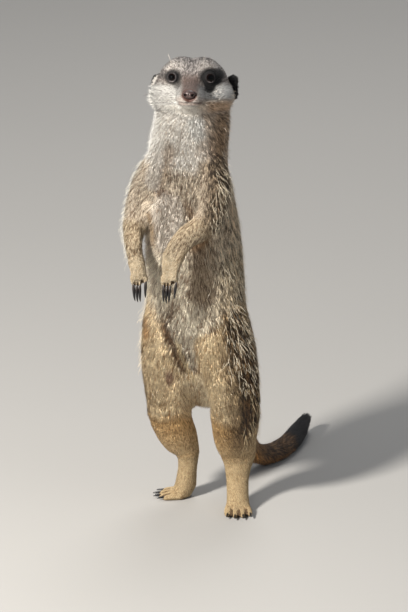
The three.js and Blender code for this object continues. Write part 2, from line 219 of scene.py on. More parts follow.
def eyeFinish():
    # "gaze" is 0 at the middle of the pupil and 1 at the edge of the iris, and "slit" is its oval twin
    material, wire = newFinish("eye", 0.05, 0.1, Coat_Weight=0.03, Coat_Roughness=0.02)
    gaze, slit, turn = wire.attributes("gaze", "slit", "turn")
    spokes = wire.node("CombineXYZ", inputs={0: turn * 9.0, 1: gaze * 1.4})
    rays = wire.node("TexNoise", {"noise_dimensions": "2D"}, {"Vector": spokes, "Scale": 2.6, "Detail": 4.0})
    iris = rays.step(0.3, 0.72).blend(paint(9, 6, 5), paint(22, 13, 9))
    ring = gaze.step(0.72, 0.95).blend(iris, paint(7, 5, 5))
    pupil = slit.step(0.52, 0.6).blend(paint(2, 2, 3), ring)
    gaze.step(1.12, 1.3).blend(pupil, paint(30, 22, 20)).feed("Base Color")
    return material


def noseFinish():
    material, wire = newFinish("nose", 0.3, 0.55)
    pebbles = wire.node("TexVoronoi", inputs={"Vector": wire.node("TexCoord", output=3), "Scale": 2300.0})
    nostrilShade = wire.attributes("nostrilShade")[0]
    skin = wire.noise(500.0, 3.0).step(0.35, 0.7).blend(paint(46, 33, 32), paint(80, 63, 60))
    # painted shade: the nostril pits and side slits near black
    nostrilShade.blend(skin, paint(22, 9, 9)).feed("Base Color")
    (pebbles * 0.35 + 0.2).feed("Roughness")
    pebbles.bump(0.5, 0.0002)
    return material


def hornFinish():
    # claws: black horn, greyer and browner towards the root, with fine lengthways lines
    material, wire = newFinish("horn", 0.28)
    along, turn = wire.attributes("along", "turn")
    spokes = wire.node("CombineXYZ", inputs={0: turn * 14.0, 1: along * 2.0})
    lines = wire.node("TexNoise", inputs={"Vector": spokes, "Scale": 1.5, "Detail": 2.0})
    base = along.step(0.12, 0.32).blend(paint(44, 36, 32), paint(14, 13, 15))
    (lines * 0.5 + 0.75).shade(base).feed("Base Color")
    (lines * 0.25 + 0.16).feed("Roughness")
    lines.bump(0.25, 0.0001)
    return material


def earFinish():
    material, wire = newFinish("earSkin", 0.7, 0.25)
    grain = wire.noise(1300.0, 3.0)
    grain.step(0.3, 0.75).blend(paint(7, 5, 5), paint(17, 13, 12)).feed("Base Color")
    grain.bump(0.4, 0.0003)
    return material


def rimFinish():
    material, wire = newFinish("lidRim", 0.42, 0.35)
    wire.noise(2500.0).blend(paint(12, 10, 11), paint(40, 34, 34)).feed("Base Color")
    return material


def floorFinish():
    material, wire = newFinish("floor", 0.85)
    (wire.noise(3.0) * 0.04 + 0.98).shade(studio["floorColour"]).feed("Base Color")
    return material


def only(*things):
    # selects these objects and nothing else, with the first one active
    bpy.ops.object.select_all(action="DESELECT")
    for thing in things:
        thing.select_set(True)
    bpy.context.view_layer.objects.active = things[0]


def editAll(thing, operator, **settings):
    # runs one edit-mode operator on a whole mesh
    only(thing)
    bpy.ops.object.mode_set(mode="EDIT")
    bpy.ops.mesh.select_all(action="SELECT")
    operator(**settings)
    bpy.ops.object.mode_set(mode="OBJECT")


def read(items, key, wide=3, kind=float):
    # a row of values for each vertex, edge, face or corner
    values = np.empty(len(items) * wide, dtype=kind)
    items.foreach_get(key, values)
    return values.reshape(-1, wide) if wide > 1 else values


def pointsOf(thing):
    return read(thing.data.vertices, "co")


def setPoints(thing, points):
    thing.data.vertices.foreach_set("co", points.ravel())
    thing.data.update()


def normalsOf(thing):
    return read(thing.data.vertex_normals, "vector")


def edgesOf(thing):
    return read(thing.data.edges, "vertices", 2, np.int64)


def trianglesOf(thing):
    # vertex numbers, corner numbers, face numbers and areas of a mesh's triangles
    thing.data.calc_loop_triangles()
    triangles = thing.data.loop_triangles
    return (read(triangles, "vertices", 3, np.int32), read(triangles, "loops", 3, np.int32),
            read(triangles, "polygon_index", 1, np.int32), read(triangles, "area", 1))


def store(mesh, name, values):
    # a value or a colour for each vertex
    colour = np.ndim(values) == 2
    if colour:
        values = np.hstack([values, np.ones((len(values), 1))])
    layer = mesh.attributes.new(name, "FLOAT_COLOR" if colour else "FLOAT", "POINT")
    layer.data.foreach_set("color" if colour else "value", np.ravel(values).astype(np.float32))


def modify(thing, kind, weights=None, **settings):
    # applies one modifier, as far as the weights say at each vertex
    only(thing)
    if weights is not None:
        group = thing.vertex_groups.new(name="weights")
        for index in np.where(weights > 0.001)[0]:
            group.add((int(index),), float(weights[index]), "REPLACE")
        settings["vertex_group"] = "weights"
    modifier = thing.modifiers.new(kind.lower(), kind)
    for name, value in settings.items():
        setattr(modifier, name, value)
    bpy.ops.object.modifier_apply(modifier=modifier.name)
    thing.vertex_groups.clear()


def remesh(thing, voxel):
    modify(thing, "REMESH", mode="VOXEL", voxel_size=voxel * mm)


def smooth(thing, rounds, weights=None):
    modify(thing, "SMOOTH", weights, factor=0.5, iterations=rounds)


def smoothShade(thing):
    thing.data.polygons.foreach_set("use_smooth", np.ones(len(thing.data.polygons), dtype=bool))
    thing.data.update()


def copyNodes(names, newName):
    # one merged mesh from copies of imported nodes
    copies = []
    for name in names:
        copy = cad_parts[name].copy()
        copy.data = copy.data.copy()
        copy.parent = None
        for key in list(copy.keys()):
            del copy[key]
        bpy.context.scene.collection.objects.link(copy)
        copies.append(copy)
    only(*copies)
    if len(copies) > 1:
        bpy.ops.object.join()
    joined = bpy.context.object
    joined.name = joined.data.name = newName
    joined.data.materials.clear()
    editAll(joined, bpy.ops.mesh.remove_doubles, threshold=1e-5)
    return joined


def handOver(thing, finish, slot, *nodes):
    # hands a finished piece over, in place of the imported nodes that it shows
    thing.data.materials.append(finish)
    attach(thing, "root")
    if nodes:
        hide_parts(*nodes)


def spread(values, ends, rounds):
    # blurs a field over a mesh along its edges
    count = np.bincount(ends.ravel(), minlength=len(values)).astype(float)
    field = np.array(values, float)
    flat = field.reshape(len(field), -1)
    for _ in range(rounds):
        for column in range(flat.shape[1]):
            near = np.bincount(ends[:, 0], flat[ends[:, 1], column], len(flat))
            near += np.bincount(ends[:, 1], flat[ends[:, 0], column], len(flat))
            flat[:, column] = 0.5 * flat[:, column] + 0.5 * near / count
    return flat.reshape(field.shape)


def unit(v):
    return v / np.maximum(np.linalg.norm(v, axis=-1, keepdims=True), 1e-12)


def level(v, up):
    # the part of each arrow that lies along the surface
    return v - up * (v * up).sum(1, keepdims=True)


def ease(low, high, v):
    t = np.clip((v - low) / (high - low), 0, 1)
    return t * t * (3 - 2 * t)


def toLine(points, line):
    # how far each point is from a chain of straight lengths
    nearest = np.full(len(points), 1e9)
    for a, b in zip(np.array(line[:-1], float), np.array(line[1:], float)):
        t = np.clip((points - a) @ (b - a) / ((b - a) @ (b - a)), 0, 1)
        nearest = np.minimum(nearest, np.linalg.norm(points - a - t[:, None] * (b - a), axis=1))
    return nearest


# the head's own axes: x to the animal's left, y backwards, z up, in millimetres, as the solids have them
headPlan = {
    "eyeSide": 10.8, "eyeFront": -11.8, "eyeUp": 5.4, "noseFront": -34.9, "noseUp": -4.6, "eyeRadius": 4.7,
    "gazeOut": 30, "gazeUp": 4,
}


def middleOf(node):
    low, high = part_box(node)
    return np.array((low + high) / 2)


def headAxes():
    left, right, nose = (middleOf(name) for name in ("eye_left", "eye_right", "nose"))
    across = unit(left - right)
    between = (left + right) / 2
    ahead = nose - between
    ahead = unit(ahead - across * (ahead @ across))
    drop = math.atan2(headPlan["eyeUp"] - headPlan["noseUp"], headPlan["eyeFront"] - headPlan["noseFront"])
    over = np.cross(ahead, across)
    over = over if over[2] > 0 else -over
    front = ahead * math.cos(drop) + over * math.sin(drop)
    up = over * math.cos(drop) - ahead * math.sin(drop)
    axes = np.stack([across, -front, up])
    return axes, between / mm - axes.T @ np.array([0, headPlan["eyeFront"], headPlan["eyeUp"]])


axesOfHead, originOfHead = headAxes()


def inHead(points):
    # frame metres to the head's millimetres
    return (points / mm - originOfHead) @ axesOfHead.T


def outOfHead(local):
    return (local @ axesOfHead + originOfHead) * mm


def halved(local):
    # folds the animal's right half of the face onto the left
    return local * np.where(local[:, :1] < 0, (-1, 1, 1), (1, 1, 1))


def eyeMiddle(side):
    return np.array([side * headPlan["eyeSide"], headPlan["eyeFront"], headPlan["eyeUp"]])


def eyeAxes(side):
    # the way an eye looks, and level and upright to it
    gaze = toward(side * headPlan["gazeOut"], headPlan["gazeUp"])
    flat = unit(np.cross((0, 0, 1), gaze))
    return gaze, flat, np.cross(gaze, flat)


def lidOpening(flatness):
    # degrees from the gaze to the lids' edge, widest at the corners of the eye
    return skinPlan["aperture"] * (0.82 + 0.22 * flatness)


def fromEye(local, side):
    # distance from the eye's middle, direction, degrees off the gaze and degrees past the lids' edge
    offset = local - eyeMiddle(side)
    outward = unit(offset)
    gaze, flat, _ = eyeAxes(side)
    angle = np.degrees(np.arccos(np.clip(outward @ gaze, -1, 1)))
    return np.linalg.norm(offset, axis=1), outward, angle, angle - lidOpening(np.abs(outward @ flat))


def nearEyes(local):
    # how far each point is from the nearer eyeball's surface
    return np.minimum(*(fromEye(local, side)[0] for side in sides.values())) - headPlan["eyeRadius"]


# depth of the coat over the skin, tuft length, width and lift, and tufts to a square millimetre
coatKeys = ("depth", "length", "width", "lift", "crowd")
coatBook = {
    "head": (1.0, 2.5, 0.32, 15, 6.2), "neck": (2.2, 5.2, 0.4, 19, 5.0),
    "chest": (2.7, 6.2, 0.43, 15, 4.8), "abdomen": (2.9, 6.6, 0.44, 15, 4.8),
    "upper_arm": (2.0, 5.2, 0.4, 14, 5.0), "forearm": (1.4, 4.0, 0.36, 14, 5.4),
    "hand": (0.5, 1.6, 0.28, 9, 5.8), "foot": (0.5, 1.8, 0.3, 9, 5.2),
    "thigh": (2.5, 6.6, 0.44, 15, 5.0), "shank": (1.7, 5.0, 0.4, 15, 4.6),
    "tail_base": (1.9, 6.0, 0.42, 11, 4.4), "tail_middle": (1.7, 5.8, 0.4, 10, 4.6),
    "tail_end": (1.5, 5.6, 0.38, 9, 4.8), "tail_tip": (1.4, 7.0, 0.38, 8, 5.0),
}
skinPlan = {
    "weld": 0.32, "voxel": 1.34, "smooth": 8, "trunkSmooth": 14, "fineSmooth": 4,
    "lidRise": 0.25, "aperture": 41, "lidEdge": 3.0, "blurRounds": 10,
    # the lips across and up the face, to the left corner of the mouth
    "mouth": [(0, -10.8), (2.2, -11.0), (4.4, -10.9), (6.6, -10.6), (8.4, -10.3), (10, -10.1)],
    "mouthWidth": 0.85, "mouthDepth": 1.0,
    "philtrum": [(0, -7.6), (0, -9.2), (0, -10.9)], "cleftWidth": 0.6, "cleftDepth": 0.6,
}
armGap = {"line": [(-25, -72, 206), (-23, -72, 164)], "reach": 10}  # fur closes the gap between arm and flank


def kindOf(node):
    return node.removesuffix("_left").removesuffix("_right")


fleshNodes = [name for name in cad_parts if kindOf(name) in coatBook]


def labelsOf(*names):
    # numbers of the flesh nodes with these names, of either side where none is named
    return [index for index, node in enumerate(fleshNodes) if node in names or kindOf(node) in names]


pawLabels = labelsOf("hand", "foot")
headLabel = labelsOf("head")[0]


def bookValues(key, labels):
    column = coatKeys.index(key)
    return np.array([coatBook[kindOf(name)][column] for name in fleshNodes], float)[labels]


def weldFlesh():
    skin = copyNodes(fleshNodes, "skin")
    lids = []
    radius = (headPlan["eyeRadius"] + skinPlan["lidRise"] - skinPlan["weld"]) * mm
    for side in sides.values():
        middle = outOfHead(eyeMiddle(side)[None])[0]
        bpy.ops.mesh.primitive_uv_sphere_add(segments=32, ring_count=24, radius=radius, location=middle)
        lids.append(bpy.context.object)
    only(skin, *lids)
    bpy.ops.object.join()
    modify(skin, "DISPLACE", strength=skinPlan["weld"] * mm, mid_level=0)
    remesh(skin, skinPlan["voxel"])
    editAll(skin, bpy.ops.mesh.separate, type="LOOSE")
    bodies = sorted(bpy.context.selected_objects, key=lambda body: len(body.data.vertices))
    skin = bodies.pop()
    for body in bodies:
        bpy.data.objects.remove(body)
    skin.name = skin.data.name = "skin"
    smooth(skin, skinPlan["smooth"])
    _, y, z = pointsOf(skin).T / mm
    smooth(skin, skinPlan["trunkSmooth"], ease(26, 40, z) * ease(262, 244, z) * ease(-92, -86, y))
    return skin


def pickFaces(thing, chosen):
    # goes into edit mode with just these faces selected
    for parts in (thing.data.vertices, thing.data.edges):
        parts.foreach_set("select", np.zeros(len(parts), dtype=bool))
    thing.data.polygons.foreach_set("select", chosen)
    thing.data.update()
    only(thing)
    bpy.context.tool_settings.mesh_select_mode = (False, False, True)
    bpy.ops.object.mode_set(mode="EDIT")


def refine(thing, chosen):
    # cuts the chosen faces finer
    pickFaces(thing, chosen)
    bpy.ops.mesh.subdivide(number_cuts=1, smoothness=0)
    bpy.ops.object.mode_set(mode="OBJECT")


def faceMiddles(thing):
    return read(thing.data.polygons, "center")


def sculptHead(skin):
    x, y, z = inHead(faceMiddles(skin)).T
    refine(skin, (y < -4) & (y > -45) & (np.abs(x) < 18) & (np.abs(z + 2) < 14))
    middles = inHead(faceMiddles(skin))
    x, y, z = middles.T
    lips = toLine(np.abs(middles) * (1, 0, -1), [(x, 0, z) for x, z in skinPlan["mouth"]])
    refine(skin, (nearEyes(middles) < 2.2) | ((lips < 1.6) & (y < -12) & (y > -45) & (z < 0)))
    local = inHead(pointsOf(skin))
    face = (local[:, 1] < 8) & (np.linalg.norm(local, axis=1) < 60)
    smooth(skin, skinPlan["fineSmooth"], face.astype(float))


def openEyes(skin):
    # the lids lie on the eyeball, and the skin dives behind it inside the opening
    local = inHead(pointsOf(skin))
    edge, lid = skinPlan["lidEdge"], headPlan["eyeRadius"] + skinPlan["lidRise"]
    for side in sides.values():
        far, outward, angle, past = fromEye(local, side)
        near = (far < lid + 3) & (angle < 100)
        radius = np.maximum(far, lid + 0.25 * ease(25, 4, past))
        radius = np.where(past < edge, lid + 0.1, radius)
        radius = np.where(past <= -edge, headPlan["eyeRadius"] - 0.9, radius)
        local = np.where(near[:, None], eyeMiddle(side) + outward * radius[:, None], local)
    setPoints(skin, outOfHead(local))


def ontoFace(skin, line):
    # drops a line given across and up the face onto the skin from in front
    tree = BVHTree.FromObject(skin, bpy.context.evaluated_depsgraph_get())
    start = outOfHead(np.array([(x, -70, z) for x, z in line], float))
    return inHead(np.array([tree.ray_cast(Vector(spot), Vector(axesOfHead[1]))[0] for spot in start]))


def groove(local, line, width):
    # 1 along a line and 0 away from it
    return np.exp(-((toLine(local, line) / width) ** 2))


def carveMouth(skin):
    local = inHead(pointsOf(skin))
    lips, split = ontoFace(skin, skinPlan["mouth"]), ontoFace(skin, skinPlan["philtrum"])
    mouth = groove(halved(local), lips, skinPlan["mouthWidth"])
    cleft = groove(halved(local), split, skinPlan["cleftWidth"]) * skinPlan["cleftDepth"]
    push = skinPlan["mouthDepth"] * np.maximum(mouth, cleft)
    setPoints(skin, outOfHead(local - normalsOf(skin) @ axesOfHead.T * push[:, None]))
    return lips


pawPlan = {
    # grooves between the digits: half-width, depth, and how near the claws they are; for each paw how far
    # back they run and the way its back faces
    "smooth": 4, "width": 0.75, "depth": 0.9, "reach": (9, 16),
    "hand": (5.5, (0.4, -0.9, 0)), "foot": (9.0, (0, 0, 1)),
}
clawNames = sorted(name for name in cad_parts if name.startswith("claw_"))


def clawLine(node):
    # root and tip of a packed claw
    spots = pointsOf(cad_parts[node])
    paw = middleOf(node.replace("claw_front", "hand").replace("claw_hind", "foot").rsplit("_", 1)[0])
    middle = spots.mean(0)
    axis = np.linalg.svd(spots - middle, full_matrices=False)[2][0]
    axis = axis if (middle - paw) @ axis > 0 else -axis
    reach = (spots - middle) @ axis
    return spots[reach < reach.min() + 0.3 * mm].mean(0), spots[reach > reach.max() - 0.3 * mm].mean(0)


def nearClaws(points):
    # 1 on the digits, falling to 0 on the rest of a paw
    gap = np.min([np.linalg.norm(points - clawLine(name)[0], axis=1) for name in clawNames], axis=0) / mm
    return ease(pawPlan["reach"][1], pawPlan["reach"][0], gap)


def betweenDigits(points):
    # 1 along the middle of each gap between neighbouring fingers or toes
    deepest = np.zeros(len(points))
    for limb, kind, name in (("front", "hand", "left"), ("front", "hand", "right"),
                             ("hind", "foot", "left"), ("hind", "foot", "right")):
        back, lift = pawPlan[kind]
        claws = [clawLine(f"claw_{limb}_{name}_{index}") for index in (1, 2, 3, 4)]
        for (rootA, tipA), (rootB, tipB) in zip(claws[:-1], claws[1:]):
            point = unit(tipA - rootA + tipB - rootB)
            across = unit(np.cross(point, lift))
            offset = (points - (rootA + rootB) / 2) / mm
            run = offset @ point
            gap = np.exp(-((offset @ across / pawPlan["width"]) ** 2)) * ease(-back, -back * 0.7, run)
            gap *= ease(3, 1, run) * (np.abs(offset @ unit(np.array(lift))) < 7)
            deepest = np.maximum(deepest, gap * ease(9, 7, np.abs(run)))
    return deepest


def packedTree(labels):
    # a search tree over these flesh nodes as packed, and the label of each of its faces
    verts, faces, owners = [], [], []
    for label in labels:
        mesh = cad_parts[fleshNodes[label]].data
        start = len(verts)
        verts.extend(v.co.copy() for v in mesh.vertices)
        faces.extend(tuple(start + i for i in face.vertices) for face in mesh.polygons)
        owners.extend([label] * len(mesh.polygons))
    return BVHTree.FromPolygons(verts, faces), owners


def labelPoints(points):
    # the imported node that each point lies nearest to
    tree, owners = packedTree(range(len(fleshNodes)))
    return np.array([owners[tree.find_nearest(Vector(point))[2]] for point in points])


def shapeDigits(skin, labels):
    # brings back the fingers and toes that the weld closed up
    spots = pointsOf(skin)
    share = spread(np.isin(labels, pawLabels) * nearClaws(spots), edgesOf(skin), 3)
    tree = packedTree(pawLabels)[0]
    for index in np.where(share > 0.05)[0]:
        near = np.array(tree.find_nearest(Vector(spots[index]))[0])
        spots[index] += (near - spots[index]) * ease(0.05, 0.8, share[index])
    setPoints(skin, spots)
    smooth(skin, pawPlan["smooth"], ease(0.02, 0.2, share))
    depth = pawPlan["depth"] * mm * (betweenDigits(pointsOf(skin)) * ease(0.2, 0.6, share))
    setPoints(skin, pointsOf(skin) - normalsOf(skin) * depth[:, None])


def closedGap(points):
    return ease(armGap["reach"], armGap["reach"] - 4, toLine(points / mm, armGap["line"]))


def aboveAnkle(points, labels, ends):
    # 1 at the bottom of the shank, where its coat thins out into the foot's
    return spread(np.isin(labels, labelsOf("shank")).astype(float), ends, 6) * ease(76, 40, points[:, 2] / mm)


def sinkSkin(skin, labels, ends):
    # moves the skin in by the depth of the coat, less round the eyes, on the muzzle and under the soles
    points = pointsOf(skin)
    local = inHead(points)
    depth = spread(bookValues("depth", labels), ends, skinPlan["blurRounds"])
    onFace = depth * (1 - 0.6 * ease(-12, -32, local[:, 1])) * ease(0.4, 5, nearEyes(local))
    depth = np.where(labels == headLabel, onFace, depth)
    depth *= ease(-1, 6, points[:, 2] / mm) * 0.75 + 0.25
    depth *= 1 - 0.8 * closedGap(points)
    depth *= 1 - 0.5 * aboveAnkle(points, labels, ends)
    modify(skin, "DISPLACE", depth / depth.max(), strength=-depth.max() * mm, mid_level=0)
    points = pointsOf(skin)
    points[:, 2] = np.maximum(points[:, 2], 0.05 * mm)
    setPoints(skin, points)


tell("welding the flesh into one skin")
skin = weldFlesh()
tell(f"{len(skin.data.polygons)} faces when welded")
sculptHead(skin)
refine(skin, np.isin(labelPoints(faceMiddles(skin)), pawLabels))
smoothShade(skin)
labels = labelPoints(pointsOf(skin))
ends = edgesOf(skin)
shapeDigits(skin, labels)
lips = carveMouth(skin)
sinkSkin(skin, labels, ends)
openEyes(skin)
tell(f"skin has {len(skin.data.polygons)} faces")


# how strongly the coat is drawn downwards, besides lying away from the nose
downPull = {"neck": 0.7, "chest": 1.3, "abdomen": 1.3, "thigh": 0.5, "upper_arm": 0.5}


def farLinks(thing, ends):
    # edges, face diagonals and knight's moves, so that distances are nearly the same in every direction
    count = len(thing.data.vertices)
    quads = np.array([face.vertices for face in thing.data.polygons if len(face.vertices) == 4])
    near = np.vstack([ends, quads[:, (0, 2)], quads[:, (1, 3)]])
    both = np.vstack([ends, ends[:, ::-1]])
    both = both[np.argsort(both[:, 0], kind="stable")]
    turn = np.arange(len(both)) - np.searchsorted(both[:, 0], both[:, 0])
    beside = np.full((count, 4), -1)
    few = turn < 4
    beside[both[few, 0], turn[few]] = both[few, 1]
    both = np.vstack([near, near[:, ::-1]])
    jumps = np.vstack([both] + [np.stack([both[:, 0], beside[both[:, 1], k]], 1) for k in range(4)])
    jumps = jumps[(jumps[:, 1] >= 0) & (jumps[:, 0] != jumps[:, 1])]
    keys = np.unique(jumps[:, 0] * count + jumps[:, 1])
    return keys // count, keys % count


def distanceFromNose(points, here, there):
    travelled = np.full(len(points), 9.0)
    travelled[np.argmin(np.linalg.norm(inHead(points) - (0, -38, -7), axis=1))] = 0
    lengths = np.linalg.norm(points[here] - points[there], axis=1)
    rows, first = np.unique(here, return_index=True)
    for _ in range(900):
        shorter = travelled.copy()
        shorter[rows] = np.minimum(travelled[rows], np.minimum.reduceat(travelled[there] + lengths, first))
        if np.array_equal(shorter, travelled):
            break
        travelled = shorter
    return travelled


def lieOfCoat(points, normals, labels, ends):
    # the way the coat lies at every vertex, and how steady it is: low where the lie whirls
    travelled = spread(distanceFromNose(points, *farLinks(skin, ends)), ends, 12)
    step = points[ends[:, 1]] - points[ends[:, 0]]
    slope = (travelled[ends[:, 1]] - travelled[ends[:, 0]]) / np.maximum((step ** 2).sum(1), 1e-12)
    push = step * slope[:, None]
    flow = np.zeros_like(points)
    for axis in range(3):
        for end in (0, 1):
            flow[:, axis] += np.bincount(ends[:, end], push[:, axis], len(points))
    pull = spread(np.array([downPull.get(kindOf(name), 0) for name in fleshNodes])[labels], ends, 20)
    flow = unit(level(flow, normals)) + pull[:, None] * np.array([0, 0, -1.0])
    flow = level(spread(unit(level(flow, normals)), ends, 30), normals)
    return unit(flow), ease(0.15, 0.7, np.linalg.norm(flow, axis=1))


# pale and deep hair, and how many hairs are deep, on the belly side and on the back side
coatColours = {
    "head": ((192, 185, 178), (104, 94, 88), 0.42, (160, 150, 143), (82, 72, 66), 0.5),
    "neck": ((232, 228, 221), (172, 159, 144), 0.18, (206, 174, 140), (66, 49, 37), 0.5),
    "chest": ((234, 220, 199), (104, 83, 64), 0.34, (236, 214, 184), (30, 22, 17), 0.53),
    "abdomen": ((254, 244, 222), (132, 104, 78), 0.28, (244, 222, 188), (22, 15, 11), 0.57),
    "upper_arm": ((208, 194, 174), (120, 100, 81), 0.32, (170, 150, 125), (40, 30, 23), 0.57),
    "forearm": ((198, 181, 154), (110, 88, 64), 0.34, (182, 160, 128), (82, 62, 42), 0.44),
    "hand": ((208, 193, 166), (148, 122, 89), 0.22, (192, 170, 136), (120, 93, 64), 0.32),
    "thigh": ((252, 230, 190), (154, 116, 73), 0.28, (204, 174, 132), (22, 15, 11), 0.63),
    "shank": ((240, 202, 144), (150, 107, 61), 0.33, (180, 146, 102), (46, 32, 20), 0.58),
    "foot": ((200, 178, 140), (142, 112, 73), 0.22, (180, 154, 114), (112, 84, 52), 0.34),
    "tail_base": ((246, 192, 128), (146, 100, 60), 0.36, (228, 186, 136), (84, 59, 38), 0.48),
    "tail_middle": ((240, 178, 108), (120, 80, 44), 0.4, (188, 146, 102), (58, 41, 28), 0.54),
    "tail_end": ((212, 154, 92), (92, 64, 40), 0.45, (150, 116, 82), (44, 33, 25), 0.58),
    "tail_tip": ((48, 41, 40), (18, 15, 16), 0.8, (43, 37, 37), (15, 13, 15), 0.8),
}
# azimuth that the pale side of each piece faces, half its spread, and how soft its edge is, in degrees
bellyFacing = {
    # the neck's pale side is turned to the animal's right, so its left side is browner: partly the real
    # grey-brown neck side, partly painted shade
    "neck": (-26, 72, 24), "chest": (-4, 56, 24), "abdomen": (-4, 50, 22), "upper_arm_left": (-62, 56, 30),
    "upper_arm_right": (12, 84, 30), "forearm_left": (-20, 95, 30), "forearm_right": (20, 105, 30),
    "hand_left": (0, 120, 30), "hand_right": (0, 120, 30), "thigh_left": (-52, 76, 24),
    "thigh_right": (48, 92, 24), "shank_left": (-50, 66, 26), "shank_right": (40, 95, 28),
    "foot_left": (0, 140, 30), "foot_right": (0, 140, 30),
}
# spots and streaks: a line in frame millimetres, its half-width and softness, pale and deep colours,
# the share of deep hairs, and strength. Several are painted shade, in folds, armpits and under the left
# forearm
streaks = {
    # painted shade: a dark brown line in the fold between the right thigh and the belly
    "groinFoldShade": ([(-16, -80, 137), (-5, -80, 118), (1, -72, 98)], 2.2, 2.5, (150, 112, 66),
        (84, 56, 30), 0.6, 0.9),
    "groinLeft": ([(14, -76, 122), (9, -74, 104), (5, -70, 95)], 1.6, 2.0, (186, 156, 112),
        (120, 88, 54), 0.4, 0.5),
    "thighBare": ([(-8, -79, 99), (-8, -78, 94)], 2.6, 2.2, (170, 134, 112), (112, 78, 62), 0.4, 0.8),
    "groinBare": ([(2, -70, 95), (8, -69, 94)], 1.8, 2.0, (176, 134, 106), (118, 84, 64), 0.4, 0.8),
    "groinPale": ([(4, -64, 88), (2, -56, 72)], 9, 8, (255, 238, 204), (182, 142, 92), 0.3, 0.9),
    "innerThigh": ([(15, -73, 122), (19, -73, 80)], 5.5, 5, (246, 224, 184), (176, 140, 96), 0.2, 0.85),
    # painted shade in the armpits
    "armpitShadeRight": ([(-24, -76, 224), (-15, -76, 221)], 3.2, 3.5, (150, 122, 100), (98, 72, 56), 0.55, 0.8),
    "armpitShadeLeft": ([(1, -76, 219), (5, -75, 211)], 2.2, 2.5, (176, 130, 78), (108, 74, 42), 0.5, 0.85),
    "chestGold": ([(-25, -74, 207), (-23, -76, 190)], 1.8, 3, (196, 162, 116), (140, 104, 66), 0.3, 0.6),
    # painted shade in a fold of the throat
    "throatFoldShade": ([(3, -74, 275), (-1, -75, 265), (-6, -76, 254)], 0.9, 1.4, (120, 100, 82),
        (72, 54, 42), 0.6, 0.75),
    "collar": ([(-11, -74, 253), (-16, -75, 238), (-20, -76, 225)], 1.2, 6.5, (168, 144, 118),
        (90, 70, 53), 0.5, 0.6),
    "shoulderPale": ([(-22, -71, 244), (-25, -72, 229)], 4.5, 4, (224, 218, 210), (168, 156, 144), 0.16, 0.8),
    "chestPatch": ([(-12, -77, 213), (-9, -78, 192)], 8.5, 5.5, (240, 231, 220), (160, 143, 126), 0.22, 0.85),
    "groinLock": ([(-4, -79, 124), (2, -71, 99), (4, -62, 82)], 1.2, 1.4, (236, 216, 176),
        (188, 152, 102), 0.15, 0.9),
    "throatBib": ([(7, -72, 272), (9, -72, 264)], 4, 3, (226, 226, 222), (176, 170, 164), 0.1, 0.8),
    # painted shadow of the left forearm on the chest and belly below it
    "armShadowLeft": ([(14, -74, 192), (13, -75, 158)], 4.0, 10, (168, 138, 104), (66, 48, 34), 0.52, 0.72),
    # orange-brown under the left forearm: partly the fur's own colour, partly painted shade under the arm
    "elbowLeft": ([(6, -76, 190), (18, -72, 196)], 2.6, 4, (172, 128, 80), (98, 68, 40), 0.5, 0.75),
    # the left flank and thigh edge: partly the real dark grizzled coat, partly painted shade on the side
    # turned from the light
    "flankLow": ([(36, -66, 140), (43, -58, 98)], 7, 8, (190, 156, 116), (22, 15, 11), 0.78, 1.0),
    "thighEdge": ([(48, -62, 108), (47, -60, 66)], 7, 8, (148, 112, 74), (20, 14, 10), 0.78, 1.0),
    "thighPatch": ([(-30, -79, 134), (-28, -79, 126)], 3, 4, (206, 158, 102), (150, 104, 60), 0.4, 0.75),
    "bellySide": ([(-12, -80, 140), (-4, -80, 150)], 3, 5, (186, 170, 146), (96, 78, 60), 0.5, 0.5),
}
bellyWaves = {
    "line": [(-9, -80, 142), (2, -76, 104)], "reach": 10, "pitch": 4.4, "waver": 1.6, "strength": 0.7,
    "paint": ((138, 114, 88), (66, 50, 38), 0.7),
}
dorsalBands = {
    "pitch": 13.5, "from": 96, "to": 205, "spread": 62, "waver": 2.2, "strength": 0.8,
    "paint": ((92, 74, 58), (46, 34, 27), 0.8),
}
# painted shade between the fingers and toes and in the creases of the paws
digitShade = ((112, 84, 56), (58, 40, 28), 0.7)  # between the fingers and toes
anklePaint = ((214, 190, 150), (156, 124, 84), 0.25)  # a foot's colour creeping up the shank
# what is laid on the face in turn: pale and deep colours, the share of deep hairs, and strength
facePaint = {
    "crown": ((200, 192, 187), (58, 50, 47), 0.5, 1), "nape": ((170, 158, 146), (84, 72, 64), 0.5, 1),
    "cheek": ((196, 194, 190), (112, 107, 103), 0.16, 1), "brow": ((214, 208, 200), (104, 92, 87), 0.3, 0.75),
    "bridge": ((124, 103, 94), (68, 53, 47), 0.42, 0.9), "eyePatch": ((18, 15, 16), (5, 4, 5), 0.75, 1),
    "lipSide": ((206, 194, 184), (150, 128, 118), 0.25, 0.6),
    "chin": ((232, 228, 220), (186, 176, 164), 0.12, 1),
    # painted shade: warm brown on the lower face of the animal's left side, turned from the light
    "lowCheekShade": ((232, 194, 154), (146, 110, 80), 0.35, 0.8),
    "farCheek": ((255, 253, 248), (222, 216, 208), 0.06, 1),
    "mouth": ((112, 74, 54), (56, 32, 24), 0.65, 1),
}
# centre from the eye, half-sizes and softness, in the head's millimetres, and strength
eyePatches = {
    # both eyes have real dark patches; the left one is bigger and darker than the right as painted shade on
    # the side turned from the light
    "left": [((1.6, 0.3, 0.3), (8.6, 9, 6.3), 0.2, 1.0), ((0.9, -1, -5.2), (3.9, 8, 4.8), 0.28, 1.0),
             ((7.8, 4, 2.6), (5.6, 9, 3.2), 0.4, 0.85)],
    "right": [((0.4, 0.2, 0.2), (6.0, 8, 5.2), 0.25, 1.0), ((-2.4, -3, -4.4), (3.0, 6, 3.6), 0.5, 0.6),
              ((6.2, 4, 1.0), (4.6, 7, 2.4), 0.55, 0.5)],
}
barePaint = {"lid": (30, 26, 27), "lowerLid": (118, 110, 110), "lip": (72, 50, 44)}


